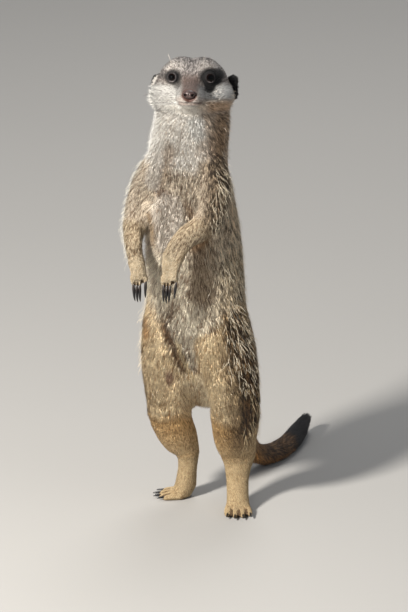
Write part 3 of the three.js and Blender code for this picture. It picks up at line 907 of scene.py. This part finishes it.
def tint(colour):
    return np.array(paint(*colour)[:3])


def turnedFrom(normals, facing):
    # degrees between the way the skin faces and an azimuth
    azimuth = np.degrees(np.arctan2(normals[:, 0], -normals[:, 1]))
    return np.abs((azimuth - facing + 180) % 360 - 180)


def mixInto(state, weight, pale, deep, grizzle):
    # state: pale colours, deep colours and share of deep hairs, changed where weight is high
    for key, colour in (("pale", pale), ("deep", deep)):
        state[key] = state[key] * (1 - weight[:, None]) + tint(colour) * weight[:, None]
    state["grizzle"] = state["grizzle"] * (1 - weight) + grizzle * weight


def bodyMarkings(normals, shares):
    # shares: how far each point belongs to each flesh node, summing to 1
    count = len(normals)
    state = {"pale": np.zeros((count, 3)), "deep": np.zeros((count, 3)), "grizzle": np.zeros(count)}
    for share, name in zip(shares.T, fleshNodes):
        front, back = coatColours[kindOf(name)][:3], coatColours[kindOf(name)][3:]
        under = ease(0.2, -0.5, normals[:, 2])
        if name in bellyFacing:
            facing, reach, soft = bellyFacing[name]
            under = ease(reach + soft, reach - soft, turnedFrom(normals, facing))
        for key, pale, dark in zip(("pale", "deep"), front, back):
            state[key] += share[:, None] * (tint(dark) + (tint(pale) - tint(dark)) * under[:, None])
        state["grizzle"] += share * (back[2] * (1 - under) + front[2] * under)
    return state


def addStreaks(state, points):
    for line, halfWidth, soft, pale, deep, grizzle, strength in streaks.values():
        near = ease(halfWidth + soft, halfWidth, toLine(points / mm, line))
        mixInto(state, near * strength, pale, deep, grizzle)


def addBands(state, points, normals, shares):
    # short dark bars across the back, from the shoulders to the root of the tail
    book = dorsalBands
    x, _, z = points.T / mm
    trunk = shares[:, labelsOf("chest", "abdomen")].sum(1)
    behind = ease(book["spread"], book["spread"] - 35, turnedFrom(normals, 180))
    wave = np.sin(2 * math.pi * (z + book["waver"] * np.sin(x * 0.16 + z * 0.05)) / book["pitch"])
    along = ease(book["from"] - 8, book["from"] + 8, z) * ease(book["to"] + 8, book["to"] - 8, z)
    mixInto(state, trunk * behind * along * ease(0.05, 0.75, wave) * book["strength"], *book["paint"])


def addWaves(state, points):
    # dark ripples across the belly
    book = bellyWaves
    x, _, z = points.T / mm
    near = ease(book["reach"], book["reach"] - 5, toLine(points / mm, book["line"]))
    wave = np.sin(2 * math.pi * (z + book["waver"] * np.sin(x * 0.42) + 0.3 * x) / book["pitch"])
    mixInto(state, near * ease(0.1, 0.8, wave) * book["strength"], *book["paint"])


def addCreases(state, points, shares):
    # painted shade in the paws' creases and between the digits, then a foot's colour up the shank
    dark = ease(0.12, 0.35, shares[:, -1]) * nearClaws(points)
    dark = np.maximum(dark, ease(0.35, 0.9, betweenDigits(points)))
    mixInto(state, shares[:, pawLabels].sum(1) * dark * 0.85, *digitShade)
    ankle = shares[:, labelsOf("shank")].sum(1) * ease(62, 30, points[:, 2] / mm)
    mixInto(state, ankle * 0.95, *anklePaint)


def blob(local, centre, half, soft):
    far = np.linalg.norm((local - np.array(centre)) / np.array(half), axis=1)
    return ease(1 + soft, 1 - soft, far)


def faceParts(local):
    # how far each point is in each part of the face's pattern
    x, y, z = np.abs(local[:, 0]), local[:, 1], local[:, 2]
    yield "crown", ease(2, 9, z) * ease(12, -2, y)
    yield "nape", ease(2, 16, y)
    yield "cheek", ease(4, -2, z) * ease(20, 4, y)
    yield "brow", blob(halved(local), (12, -8, 12), (9, 9, 3.6), 0.5)
    yield "bridge", ease(7.5, 3.5, x) * ease(11, 3, z) * ease(-2, -12, y) * ease(-9.5, -6, z)
    yield "lipSide", ease(-20, -27, y) * ease(-5, -8, z) * ease(-13, -11, z)
    yield "farCheek", blob(local, (16.5, -3, -3.5), (7, 11, 5.5), 0.4)
    yield "chin", ease(-11.6, -13, z) * ease(-6, -16, y)
    # painted shade on the lower face of the animal's left side
    yield "lowCheekShade", ease(2, 14, local[:, 0]) * ease(-7, -12, z)
    for name, side in sides.items():
        mirrored = (local - eyeMiddle(side)) * (side, 1, 1)
        for centre, half, soft, strength in eyePatches[name]:
            yield "eyePatch", blob(mirrored, centre, half, soft) * strength
    yield "mouth", ease(1.7, 0.5, toLine(halved(local), lips))


def markings(points, normals, shares):
    # the colours of the coat at places on the body, for skin and tufts alike
    state = bodyMarkings(normals, shares)
    addStreaks(state, points)
    addBands(state, points, normals, shares)
    addWaves(state, points)
    addCreases(state, points, shares)
    onHead = ease(0.15, 0.75, shares[:, headLabel])
    for name, share in faceParts(inHead(points)):
        pale, deep, grizzle, strength = facePaint[name]
        mixInto(state, onHead * share * strength, pale, deep, grizzle)
    return state


def bareSkin(points, shares):
    # the edges of lids and lips and the skin round the nose, with their colours
    local = inHead(points)
    onHead = ease(0.4, 0.8, shares[:, headLabel])
    lids = 0
    for side in sides.values():
        far, _, _, past = fromEye(local, side)
        lids = np.maximum(lids, onHead * ease(6, 2, past) * (far < headPlan["eyeRadius"] + 1.6))
    nose = ease(5.3, 4.7, np.linalg.norm(local - (0, headPlan["noseFront"], headPlan["noseUp"]), axis=1))
    mouth = ease(0.8, 0.35, toLine(halved(local), lips))
    lower = ease(headPlan["eyeUp"] - 1.6, headPlan["eyeUp"] - 3.2, local[:, 2])[:, None]
    lidColour = tint(barePaint["lid"]) * (1 - lower) + tint(barePaint["lowerLid"]) * lower
    colour = np.where(lids[:, None] > 0, lidColour, tint(barePaint["lip"]))
    return np.maximum(lids, onHead * np.maximum(nose, mouth)), colour


tell("combing the coat")
points, normals = pointsOf(skin), normalsOf(skin)
ends = edgesOf(skin)
lie, steady = lieOfCoat(points, normals, labels, ends)
smoothNormals = unit(spread(normals, ends, 8))
# how far the skin dips below its neighbours; on the paws it drives painted shade in the creases
crease = ((spread(points, ends, 8) - points) * normals).sum(1) / mm
shares = np.hstack([spread(np.eye(len(fleshNodes))[labels], ends, skinPlan["blurRounds"]), crease[:, None]])


def dressSkin():
    state = markings(points, smoothNormals, shares)
    state["bare"], state["bareColour"] = bareSkin(points, shares)
    for name, values in state.items():
        store(skin.data, name, values)
    handOver(skin, skinFinish(), "body_coat", *fleshNodes)


# each piece of the coat: its slot, how many tufts lean together in one lock, and the flesh it grows on
coatPieces = {
    "coat_head": ("face_coat", 3.6, ["head"]), "coat_neck": ("chest_coat", 4.4, ["neck"]),
    "coat_chest": ("chest_coat", 4.6, ["chest"]), "coat_belly": ("body_coat", 4.6, ["abdomen"]),
    "coat_back": ("body_coat", 4.6, ["abdomen"]), "coat_arms": ("limb_coat", 4.0, ["upper_arm", "forearm"]),
    "coat_hands": ("limb_coat", 2.0, ["hand"]), "coat_thigh_left": ("limb_coat", 4.6, ["thigh_left"]),
    "coat_thigh_right": ("limb_coat", 4.6, ["thigh_right"]), "coat_shanks": ("limb_coat", 4.0, ["shank"]),
    "coat_feet": ("limb_coat", 2.0, ["foot"]),
    "coat_tail": ("tail_coat", 3.6, ["tail_base", "tail_middle", "tail_end", "tail_tip"]),
}
tuftPlan = {
    # a tuft's section, how much it narrows, bends and sinks its root, and how much of the UV square it takes
    "section": [(-0.5, -0.08), (0.5, -0.08), (0.0, 0.13)], "narrows": 0.35, "bend": 0.42, "rooted": 0.03,
    "patch": 0.003, "floor": 0.0003,
}


def tuftPattern(sections):
    # for each corner of one tuft's triangles, its vertex number and its place in the tuft's UV patch
    rows = [(0, 0.0, 0.0), (2, 1.0, 0.0), (1, 0.5, 0.0)]
    for section in range(sections):
        low, high = section / sections, (section + 1) / sections
        for j in range(3):
            a, b = section * 3 + j, section * 3 + (j + 1) % 3
            left, right = j / 3, (j + 1) / 3
            if section + 1 == sections:
                rows += [(a, left, low), (b, right, low), (sections * 3, (left + right) / 2, high)]
            else:
                rows += [(a, left, low), (b, right, low), (b + 3, right, high)]
                rows += [(a, left, low), (b + 3, right, high), (a + 3, left, high)]
    rows = np.array(rows)
    return rows[:, 0].astype(np.int64), rows[:, 1:]


def raised(tips, heights, tree):
    # lifts the tips that would dive under the skin to their height over it
    for index, height in enumerate(heights):
        spot, normal = tree.find_nearest(Vector(tips[index]))[:2]
        under = height - (tips[index] - np.array(spot)) @ np.array(normal)
        if under > 0:
            tips[index] += np.array(normal) * under
    return tips


def growTufts(name, root, up, lie, length, width, lift, uv, state, sections=1, sway=0.0, ground=None):
    # one object with a closed, bent, tapering three-sided tuft at each root
    plan = tuftPlan
    side = np.cross(lie, up)
    rise, run = np.sin(lift), np.cos(lift)
    rings = []
    for step in range(sections + 1):
        t = step / sections
        middle = root + (length * run * t)[:, None] * lie
        middle = middle + (length * (rise * (t - plan["bend"] * t * t) - plan["rooted"]))[:, None] * up
        middle = middle + (length * sway * t * t)[:, None] * side
        if step < sections:
            broad = (width * (1 - plan["narrows"] * t))[:, None]
            rings.append(np.stack([middle + broad * (a * side + b * up) for a, b in plan["section"]], axis=1))
        elif ground:
            height = length * np.maximum((1 - plan["bend"]) * rise - plan["rooted"], 0.05)
            middle = raised(middle, height, ground)
    spots = np.concatenate(rings + [middle[:, None]], axis=1)
    spots[:, :, 2] = np.maximum(spots[:, :, 2], plan["floor"])
    corners, patch = tuftPattern(sections)
    count, perTuft = spots.shape[:2]
    loops = (np.arange(count)[:, None] * perTuft + corners).ravel()
    mesh = bpy.data.meshes.new(name)
    mesh.vertices.add(count * perTuft)
    mesh.vertices.foreach_set("co", spots.ravel().astype(np.float32))
    mesh.loops.add(len(loops))
    mesh.loops.foreach_set("vertex_index", loops.astype(np.int32))
    mesh.polygons.add(len(loops) // 3)
    mesh.polygons.foreach_set("loop_start", np.arange(0, len(loops), 3, dtype=np.int32))
    mesh.update(calc_edges=True)
    layer = mesh.uv_layers.new(name="OFBake")
    layer.data.foreach_set("uv", (uv[:, None, :] + patch * plan["patch"]).ravel().astype(np.float32))
    along = np.concatenate([np.repeat(np.arange(sections) / sections, 3), [1.0]])
    store(mesh, "along", np.tile(along, count))
    for key in ("grizzle", "chance", "pale", "deep"):
        store(mesh, key, np.repeat(state[key], perTuft, axis=0))
    tufts = bpy.data.objects.new(name, mesh)
    bpy.context.scene.collection.objects.link(tufts)
    tell(f"{name}: {count} tufts, {len(mesh.polygons)} triangles")
    return tufts


def unwrapFaces(thing, chosen):
    # lays the chosen faces out over a whole UV square, and returns the place of every face corner
    layer = thing.data.uv_layers.new(name="coat")
    pickFaces(thing, chosen)
    bpy.ops.uv.smart_project(angle_limit=math.radians(66), island_margin=0.003)
    bpy.ops.object.mode_set(mode="OBJECT")
    layer = thing.data.uv_layers["coat"]
    spots = read(layer.data, "uv", 2)
    thing.data.uv_layers.remove(layer)
    return spots


def mixed(field, rows, weights):
    # a field inside triangles, from the numbers and weights of their corners
    chosen = field[rows]
    return (chosen * (weights if chosen.ndim == 2 else weights[:, :, None])).sum(1)


def coatSettings():
    # length, width, lift and crowding of the tufts at every vertex of the skin
    local = inHead(points)
    head = spread((labels == headLabel).astype(float), ends, 4)
    values = {key: spread(bookValues(key, labels), ends, 14) for key in coatKeys[1:]}
    muzzle = ease(-4, -26, local[:, 1])
    cheek = ease(11, 19, np.abs(local[:, 0])) * ease(4, -6, local[:, 2])
    under = ease(-10, -15, local[:, 2]) * ease(-22, -8, local[:, 1])
    short = (1 - 0.56 * muzzle) * (ease(0.3, 5, nearEyes(local)) * 0.7 + 0.3)
    values["length"] *= 1 + head * (short * (1 + np.maximum(cheek, under)) - 1)
    values["width"] *= 1 - head * 0.3 * muzzle
    values["crowd"] *= 1 + head * (0.6 * muzzle - 0.35 * cheek)
    values["lift"] += head * (16 * cheek + 4 * under - 7 * muzzle)
    low = aboveAnkle(points, labels, ends)
    values["length"] *= 1 - 0.6 * low
    values["crowd"] *= 1 + 0.6 * low
    values["width"] *= 1 - 0.3 * low
    height = points[:, 2] / mm
    hanging = ease(17, 7, toLine(points / mm, streaks["groinPale"][0]))
    values["length"] *= 1 - 0.2 * hanging * ease(84, 66, height)
    gap = closedGap(points)
    values["lift"] += 24 * hanging + 26 * gap
    values["length"] *= (1 + gap * 0.6) * (0.45 + 0.55 * steady) * (1 - 0.3 * nearClaws(points))
    sole = ease(1.2, 3.0, height) * ease(-0.97, -0.6, normals[:, 2])
    values["crowd"] *= 1 - 0.6 * ease(0.4, 0.9, betweenDigits(points))
    values["crowd"] *= ease(0.35, 0.0, bareSkin(points, shares)[0])
    values["crowd"] *= np.where(height < 25, np.maximum(sole, 0.02), 1)
    values["lift"] = np.radians(values["lift"])
    return values


def ripple(points, seed):
    # a slow wandering between -1 and 1 through space
    wander = np.random.default_rng(seed)
    total = np.zeros(len(points))
    for length in (31, 23, 17, 12):
        heading = unit(wander.normal(size=3))
        total += np.sin(points @ heading / mm * 2 * math.pi / length + wander.random() * 6.3)
    return total / 2.4


def gatherLocks(root, up, flow, length, perLock):
    # leans neighbouring tufts together, and gives every tuft its lock's chance of being dark
    count = len(root)
    centres = dice.choice(count, max(1, int(count / perLock)), replace=False)
    tree = KDTree(len(centres))
    for index, centre in enumerate(centres):
        tree.insert(root[centre], index)
    tree.balance()
    owner = centres[[tree.find(spot)[1] for spot in root]]
    meeting = root[owner] + flow[owner] * (length[owner] * 1.1)[:, None]
    lean = unit(flow + 1.2 * unit(meeting - root))
    chance = dice.random(count)[owner] + 0.2 * (dice.random(count) - 0.5)
    return unit(level(lean, up)), 1 - np.abs(1 - np.abs(chance))


def growCoat(fur):
    corners, loops, faces, areas = trianglesOf(skin)
    settings = coatSettings()
    behind = points[corners].mean(1)[:, 1] > middleOf("abdomen")[1]
    ground = BVHTree.FromObject(skin, bpy.context.evaluated_depsgraph_get())
    broader = 1.0 if fullCoat == 1 else 1.5  # fewer tufts still cover the skin
    total = 0
    for name, (slot, perLock, flesh) in coatPieces.items():
        mine = np.isin(labels[corners[:, 0]], labelsOf(*flesh))
        if flesh == ["abdomen"]:
            mine &= behind == (name == "coat_back")
        uvs = unwrapFaces(skin, np.isin(np.arange(len(skin.data.polygons)), faces[mine]))
        triangles = np.where(mine)[0]
        crowd = settings["crowd"][corners[triangles]].mean(1) * areas[triangles] / mm ** 2 * fullCoat
        reach = np.cumsum(crowd)
        count = int(reach[-1])
        picked = np.searchsorted(reach, (np.arange(count) + dice.random(count)) * reach[-1] / count)
        picked = triangles[np.minimum(picked, len(triangles) - 1)]
        a, b = dice.random(count), dice.random(count)
        a, b = np.where(a + b > 1, 1 - a, a), np.where(a + b > 1, 1 - b, b)
        weights = np.stack([1 - a - b, a, b], axis=1)

        def at(field):
            return mixed(field, corners[picked], weights)

        root, up = at(points), unit(at(normals))
        flow = unit(level(at(lie) + 0.1 * dice.normal(size=(count, 3)), up))
        turn = 0.2 * ripple(root, 5)[:, None]
        flow = flow * np.cos(turn) + np.cross(up, flow) * np.sin(turn)
        length = at(settings["length"]) * mm * (0.72 + 0.5 * dice.random(count))
        flow, chance = gatherLocks(root, up, flow, length, perLock)
        width = at(settings["width"]) * mm * (0.75 + 0.5 * dice.random(count)) * broader
        lift = at(settings["lift"]) * (0.6 + 1.2 * dice.random(count) ** 2.5) * (1 + 0.2 * ripple(root, 6))
        state = markings(root, unit(at(smoothNormals)), at(shares))
        state["chance"] = chance
        spots = mixed(uvs, loops[picked], weights)
        tufts = growTufts(name, root, up, flow, length, width, lift, spots, state,
                          sway=0.1 * dice.normal(size=count), ground=ground)
        handOver(tufts, fur, slot)
        total += len(tufts.data.polygons)
    tell(f"the coat has {total} triangles")


# long single hairs: the flesh they grow on, the azimuth they face and half its spread, from and to what
# height, how many to a square millimetre, length, width, lift and colour
guardPlan = {
    "arm": (["upper_arm_right", "forearm_right"], -66, 46, (176, 246), 0.44, 8.2, 0.2, 33, (236, 230, 214)),
    "cheek": (["head", "neck"], -62, 44, (236, 294), 0.5, 7.0, 0.2, 46, (240, 238, 232)),
    "farCheek": (["head", "neck"], 116, 36, (240, 290), 0.4, 6.5, 0.2, 42, (226, 210, 190)),
    "hipRight": (["thigh_right", "abdomen"], -64, 40, (96, 160), 0.2, 11.5, 0.22, 30, (232, 214, 182)),
    "hockLeft": (["thigh_left", "shank_left"], 112, 62, (42, 100), 0.2, 11, 0.19, 20, (222, 200, 160)),
    "flank": (["abdomen", "chest", "thigh_left", "upper_arm_left"], 92, 70, (90, 246), 0.2, 9.5, 0.22, 26,
              (236, 222, 196)),
    "back": (["abdomen", "chest", "neck"], 180, 70, (80, 270), 0.08, 10.5, 0.22, 22, (216, 200, 172)),
    "tail": (["tail_base", "tail_middle"], 90, 180, (4, 100), 0.1, 8.5, 0.2, 18, (176, 140, 96)),
}
# tufts from the cheek that hang over each ear: where, how far round, and how many to a square millimetre
earCover = {
    "left": ((20.5, 3.5, -3.5), 2.4), "right": ((-20, 4.0, 0.5), 5.5), "reach": 6.5,
    "hair": (5.2, 0.26, 42, (212, 207, 200)),
}


def guardZones(middle, facing, owner):
    # how many hairs each triangle has to a square millimetre, with their length, width, lift and colour
    local, height = inHead(middle), middle[:, 2] / mm
    for nodes, azimuth, reach, (low, high), crowd, *hair in guardPlan.values():
        where = np.isin(owner, labelsOf(*nodes)) * ease(reach, reach * 0.6, turnedFrom(facing, azimuth))
        where = where * ease(low, low + 6, height) * ease(high, high - 6, height)
        yield where * ease(8, 12, nearEyes(local)) * crowd, hair
    for name in sides:
        centre, crowd = earCover[name]
        near = ease(earCover["reach"], earCover["reach"] - 3, np.linalg.norm(local - centre, axis=1))
        yield near * (owner == headLabel) * crowd, earCover["hair"]


def growGuardHairs(fur):
    corners, loops, _, areas = trianglesOf(skin)
    uvs = unwrapFaces(skin, np.ones(len(skin.data.polygons), dtype=bool))
    picks, lengths, widths, lifts, colours = [], [], [], [], []
    zones = guardZones(points[corners].mean(1), unit(smoothNormals[corners].mean(1)), labels[corners[:, 0]])
    for crowd, (length, width, lift, colour) in zones:
        reach = np.cumsum(crowd * areas / mm ** 2)
        count = int(reach[-1])
        picks.append(np.searchsorted(reach, dice.random(count) * reach[-1]))
        lengths.append(length * mm * (0.55 + 0.75 * dice.random(count)))
        widths.append(np.full(count, width * mm))
        lifts.append(np.radians(lift) * (0.6 + 0.8 * dice.random(count)))
        colours.append(tint(colour) * (0.75 + 0.3 * dice.random((count, 1))))
    lists = (picks, lengths, widths, lifts, colours)
    picked, length, width, lift, pale = (np.concatenate(parts) for parts in lists)
    count = len(picked)
    weights = dice.dirichlet((1, 1, 1), count)
    root, up, flow = (mixed(field, corners[picked], weights) for field in (points, normals, lie))
    up = unit(up)
    flow = unit(level(flow + 0.22 * dice.normal(size=(count, 3)), up))
    state = {"pale": pale, "deep": pale * 0.55, "grizzle": np.full(count, 0.12), "chance": dice.random(count)}
    spots = mixed(uvs, loops[picked], weights)
    hairs = growTufts("guard_hairs", root, up, flow, length, width, lift, spots, state,
                      sections=3, sway=0.16 * dice.normal(size=count))
    handOver(hairs, fur, "body_coat")


def oneColour(pale, deep, grizzle, count):
    state = {"pale": np.tile(tint(pale), (count, 1)), "deep": np.tile(tint(deep), (count, 1))}
    return {**state, "grizzle": np.full(count, grizzle), "chance": dice.random(count)}


eyePlan = {"bulge": 0.35, "corneaAngle": 34, "irisAngle": 42, "pupilWide": 1.25}
rimPlan = {"across": 1.1, "tube": 0.19, "height": 0.16}


def makeEye(name, side, finish):
    bpy.ops.mesh.primitive_uv_sphere_add(segments=48, ring_count=32, radius=headPlan["eyeRadius"] * mm)
    ball = bpy.context.object
    ball.name = ball.data.name = f"eyeball_{name}"
    gaze, flat, over = eyeAxes(side)
    offset = pointsOf(ball) / mm  # the sphere's pole is turned to look along the gaze
    outward = unit(offset[:, :1] * flat + offset[:, 1:2] * over + offset[:, 2:] * gaze)
    angle = np.degrees(np.arccos(np.clip(outward @ gaze, -1, 1)))
    radius = headPlan["eyeRadius"] + eyePlan["bulge"] * ease(eyePlan["corneaAngle"], 0, angle)
    setPoints(ball, outOfHead(outward * radius[:, None] + eyeMiddle(side)))
    oval = np.hypot(outward @ flat / eyePlan["pupilWide"], outward @ over)
    store(ball.data, "gaze", angle / eyePlan["irisAngle"])
    store(ball.data, "slit", np.where(angle > 90, 2.0, oval / math.sin(math.radians(eyePlan["irisAngle"]))))
    store(ball.data, "turn", np.arctan2(outward @ over, outward @ flat))
    smoothShade(ball)
    handOver(ball, finish, "eye", f"eye_{name}")


def makeLidRim(name, side, finish):
    # the wet dark margin of the lids, a ring on the edge of the opening
    bpy.ops.mesh.primitive_torus_add(major_segments=64, minor_segments=10, major_radius=1,
                                     minor_radius=rimPlan["tube"])
    ring = bpy.context.object
    ring.name = ring.data.name = f"lid_rim_{name}"
    gaze, flat, over = eyeAxes(side)
    x, y, z = pointsOf(ring).T
    turn = np.arctan2(y, x)
    opening = np.radians(lidOpening(np.abs(np.cos(turn))))[:, None]
    around = np.cos(turn)[:, None] * flat + np.sin(turn)[:, None] * over
    outward = np.sin(opening) * around + np.cos(opening) * gaze
    beside = np.cos(opening) * around - np.sin(opening) * gaze
    local = outward * (headPlan["eyeRadius"] + rimPlan["height"] + z * rimPlan["across"])[:, None]
    local = local + beside * ((np.hypot(x, y) - 1) * rimPlan["across"])[:, None]
    setPoints(ring, outOfHead(local + eyeMiddle(side)))
    smoothShade(ring)
    handOver(ring, finish, "eye")


nosePlan = {
    "voxel": 0.24, "smooth": 6, "nostril": (2.45, -37.4, -5.0), "nostrilHalf": (1.2, 1.6, 0.95), "depth": 1.7,
    # line, width and depth of the slit at the side of each nostril and of the groove between them
    "slit": ([(2.9, -37.1, -5.2), (4.3, -35.2, -5.7)], 0.45, 0.8),
    "groove": ([(0, -38.5, -3.6), (0, -38, -8.0)], 0.4, 0.45),
}


def makeNose():
    nose = copyNodes(["nose"], "nose_pad")
    remesh(nose, nosePlan["voxel"])
    smooth(nose, nosePlan["smooth"])
    local = inHead(pointsOf(nose))
    folded = halved(local)
    far = np.linalg.norm((folded - nosePlan["nostril"]) / np.array(nosePlan["nostrilHalf"]), axis=1)
    pit = ease(1.25, 0.45, far)
    push = pit * nosePlan["depth"]
    for line, width, depth in (nosePlan["slit"], nosePlan["groove"]):
        push = np.maximum(push, groove(folded, line, width) * depth)
    slit = groove(folded, *nosePlan["slit"][:2])
    inward = np.where((pit > 0.02)[:, None], np.array([0.0, 1.0, 0.1]), -normalsOf(nose) @ axesOfHead.T)
    setPoints(nose, outOfHead(local + unit(inward) * push[:, None]))
    # where the nostrils and side slits get painted shade
    store(nose.data, "nostrilShade", np.clip(np.maximum(pit, slit * 0.8), 0, 1))
    smoothShade(nose)
    handOver(nose, noseFinish(), "nose", "nose")


earPlan = {"voxel": 0.45, "smooth": 5, "crowd": 8.5, "length": 1.5, "width": 0.26, "lift": 9}


def makeEar(name, finish):
    ear = copyNodes([f"ear_{name}"], f"ear_shell_{name}")
    remesh(ear, earPlan["voxel"])
    smooth(ear, earPlan["smooth"])
    smoothShade(ear)
    handOver(ear, finish, "dark_fur", f"ear_{name}")
    return ear


def furEars(ears, fur):
    # short black hair over both ears, lying outwards from the head
    grown = []
    for index, ear in enumerate(ears):
        spots = pointsOf(ear)
        uvs = unwrapFaces(ear, np.ones(len(ear.data.polygons), dtype=bool))
        corners, loops, _, areas = trianglesOf(ear)
        reach = np.cumsum(areas / mm ** 2 * earPlan["crowd"] * fullCoat)
        count = int(reach[-1])
        picked = np.searchsorted(reach, dice.random(count) * reach[-1])
        weights = dice.dirichlet((1, 1, 1), count)
        root = mixed(spots, corners[picked], weights)
        up = unit(mixed(normalsOf(ear), corners[picked], weights))
        flow = unit(root - spots.mean(0)) + np.array([0, 0.3, -0.2])
        uv = (mixed(uvs, loops[picked], weights) + (index, 0)) * (0.5, 1)
        grown.append((root, up, unit(level(flow, up)), uv))
    root, up, lie, uv = (np.concatenate(parts) for parts in zip(*grown))
    count = len(root)
    state = oneColour((36, 30, 30), (10, 8, 9), 0.8, count)
    length = earPlan["length"] * mm * (0.7 + 0.6 * dice.random(count))
    width = np.full(count, earPlan["width"] * mm)
    lift = np.radians(earPlan["lift"]) * (0.5 + dice.random(count))
    handOver(growTufts("coat_ears", root, up, lie, length, width, lift, uv, state), fur, "dark_fur")


clawPlan = {
    "spokes": 14, "rings": 11, "flat": 0.74, "sunk": 3.6,
    # half-thickness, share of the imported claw's length, how far its back bows, and the way its back faces
    "front": (1.5, 1.0, 2.2, (0.4, -0.9, 0)), "hind": (0.85, 0.6, 0.3, (0, 0, 1)),
}


def clawWaist(node, root, tip):
    # the middle of a packed claw's curve
    spots = pointsOf(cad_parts[node])
    share = (spots - root) @ (tip - root) / ((tip - root) @ (tip - root))
    return spots[np.abs(share - 0.5) < 0.22].mean(0)


def straightClaw():
    # a cone with rings along it, which every claw is bent from
    bpy.ops.mesh.primitive_cone_add(vertices=clawPlan["spokes"], radius1=1, radius2=0.0, depth=1,
                                    end_fill_type="NGON")
    cone = bpy.context.object
    for ring in range(1, clawPlan["rings"]):
        height = ring / clawPlan["rings"] - 0.5
        editAll(cone, bpy.ops.mesh.bisect, plane_co=(0, 0, height), plane_no=(0, 0, 1))
    return cone


def makeClaws(horn):
    cone = straightClaw()
    shape = pointsOf(cone)
    t = shape[:, 2] + 0.5
    turn = np.arctan2(shape[:, 1], shape[:, 0])
    atAxis = np.hypot(shape[:, 0], shape[:, 1]) < 1e-4
    for name in clawNames:
        claw = bpy.data.objects.new("horn_" + name, cone.data.copy())
        bpy.context.scene.collection.objects.link(claw)
        thick, share, bow, back = clawPlan["front" if "front" in name else "hind"]
        root, tip = clawLine(name)
        waist = clawWaist(name, root, tip)
        over = np.array(back, float)
        over = unit(over - unit(tip - root) * (over @ unit(tip - root)))
        waist = root + (waist - root) * share + over * bow * 0.5 * mm
        tip = root + (tip - root) * share - over * bow * 0.4 * mm
        root = root - unit(waist - root) * clawPlan["sunk"] * mm
        bend = 2 * waist - (root + tip) / 2
        centre = ((1 - t) ** 2)[:, None] * root + (2 * t * (1 - t))[:, None] * bend + (t ** 2)[:, None] * tip
        along = unit((1 - t)[:, None] * (bend - root) + t[:, None] * (tip - bend))
        across = unit(np.cross(tip - root, over))
        over = np.cross(along, across)
        size = thick * mm * (1 - t ** 1.7) * (0.55 + 0.45 * ease(0, 0.25, t)) + 0.05 * mm
        ring = np.cos(turn)[:, None] * over + clawPlan["flat"] * np.sin(turn)[:, None] * across
        ring = size[:, None] * ring
        spots = centre + np.where(atAxis[:, None], 0, ring)
        spots[:, 2] = np.maximum(spots[:, 2], 0.05 * mm)
        setPoints(claw, spots)
        store(claw.data, "along", t)
        store(claw.data, "turn", turn)
        smoothShade(claw)
        editAll(claw, bpy.ops.mesh.normals_make_consistent, inside=False)
        handOver(claw, horn, "claw", name)
    bpy.data.objects.remove(cone)


# first and last root in the head's millimetres, the way each bunch points, how many and how long
whiskerPlan = {
    "muzzle": ((7.5, -28, -7), (9, -21, -8.5), (0.93, -0.15, -0.05), 7, 17),
    "lip": ((6.5, -30, -9.5), (8.6, -22, -10.5), (0.82, -0.2, -0.5), 5, 12),
    "brow": ((9, -11, 11.5), (13, -8, 11.5), (0.25, -0.35, 0.9), 3, 12),
    "cheek": ((17, -4, -7), (19, 0, -10), (0.9, -0.1, -0.3), 2, 11),
}


def growWhiskers(fur):
    roots, points, lengths = [], [], []
    for side in sides.values():
        for first, last, point, number, length in whiskerPlan.values():
            for index in range(number):
                share = (index + 0.5) / number
                at = np.array(first) * (1 - share) + np.array(last) * share
                roots.append((at + dice.normal(size=3) * 0.7) * (side, 1, 1))
                points.append(unit(np.array(point) + dice.normal(size=3) * 0.22) * (side, 1, 1))
                lengths.append(length * mm * (0.7 + 0.5 * dice.random()))
    tree = BVHTree.FromObject(skin, bpy.context.evaluated_depsgraph_get())
    found = [tree.find_nearest(Vector(spot)) for spot in outOfHead(np.array(roots))]
    root, up = np.array([hit[0] for hit in found]), unit(np.array([hit[1] for hit in found]))
    heading = np.array(points) @ axesOfHead
    flow = level(heading, up)
    lift = np.arctan2((heading * up).sum(1), np.linalg.norm(flow, axis=1))
    count = len(root)
    state = oneColour((208, 200, 188), (70, 58, 50), 0.35, count)
    spots = np.stack([np.arange(count) / count, np.full(count, 0.5)], 1)
    hairs = growTufts("whiskers", root, up, unit(flow), np.array(lengths), np.full(count, 0.2 * mm),
                      np.maximum(lift, 0.25), spots, state, sections=6, sway=0.1 * dice.normal(size=count))
    handOver(hairs, fur, "face_coat")


def makeFloor():
    bpy.ops.mesh.primitive_plane_add(size=studio["floorSize"], location=(0, 0, 0))
    floor = bpy.context.object
    floor.name = "floor"
    floor.data.materials.append(floorFinish())


dressSkin()
tell("growing the coat")
fur = furFinish()
growCoat(fur)
growGuardHairs(fur)
tell("eyes, nose, ears, claws and whiskers")
for name, side in sides.items():
    makeEye(name, side, eyeFinish())
    makeLidRim(name, side, rimFinish())
makeNose()
furEars([makeEar(name, earFinish()) for name in sides], fur)
makeClaws(hornFinish())
growWhiskers(fur)
makeFloor()

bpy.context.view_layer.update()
tell("done")
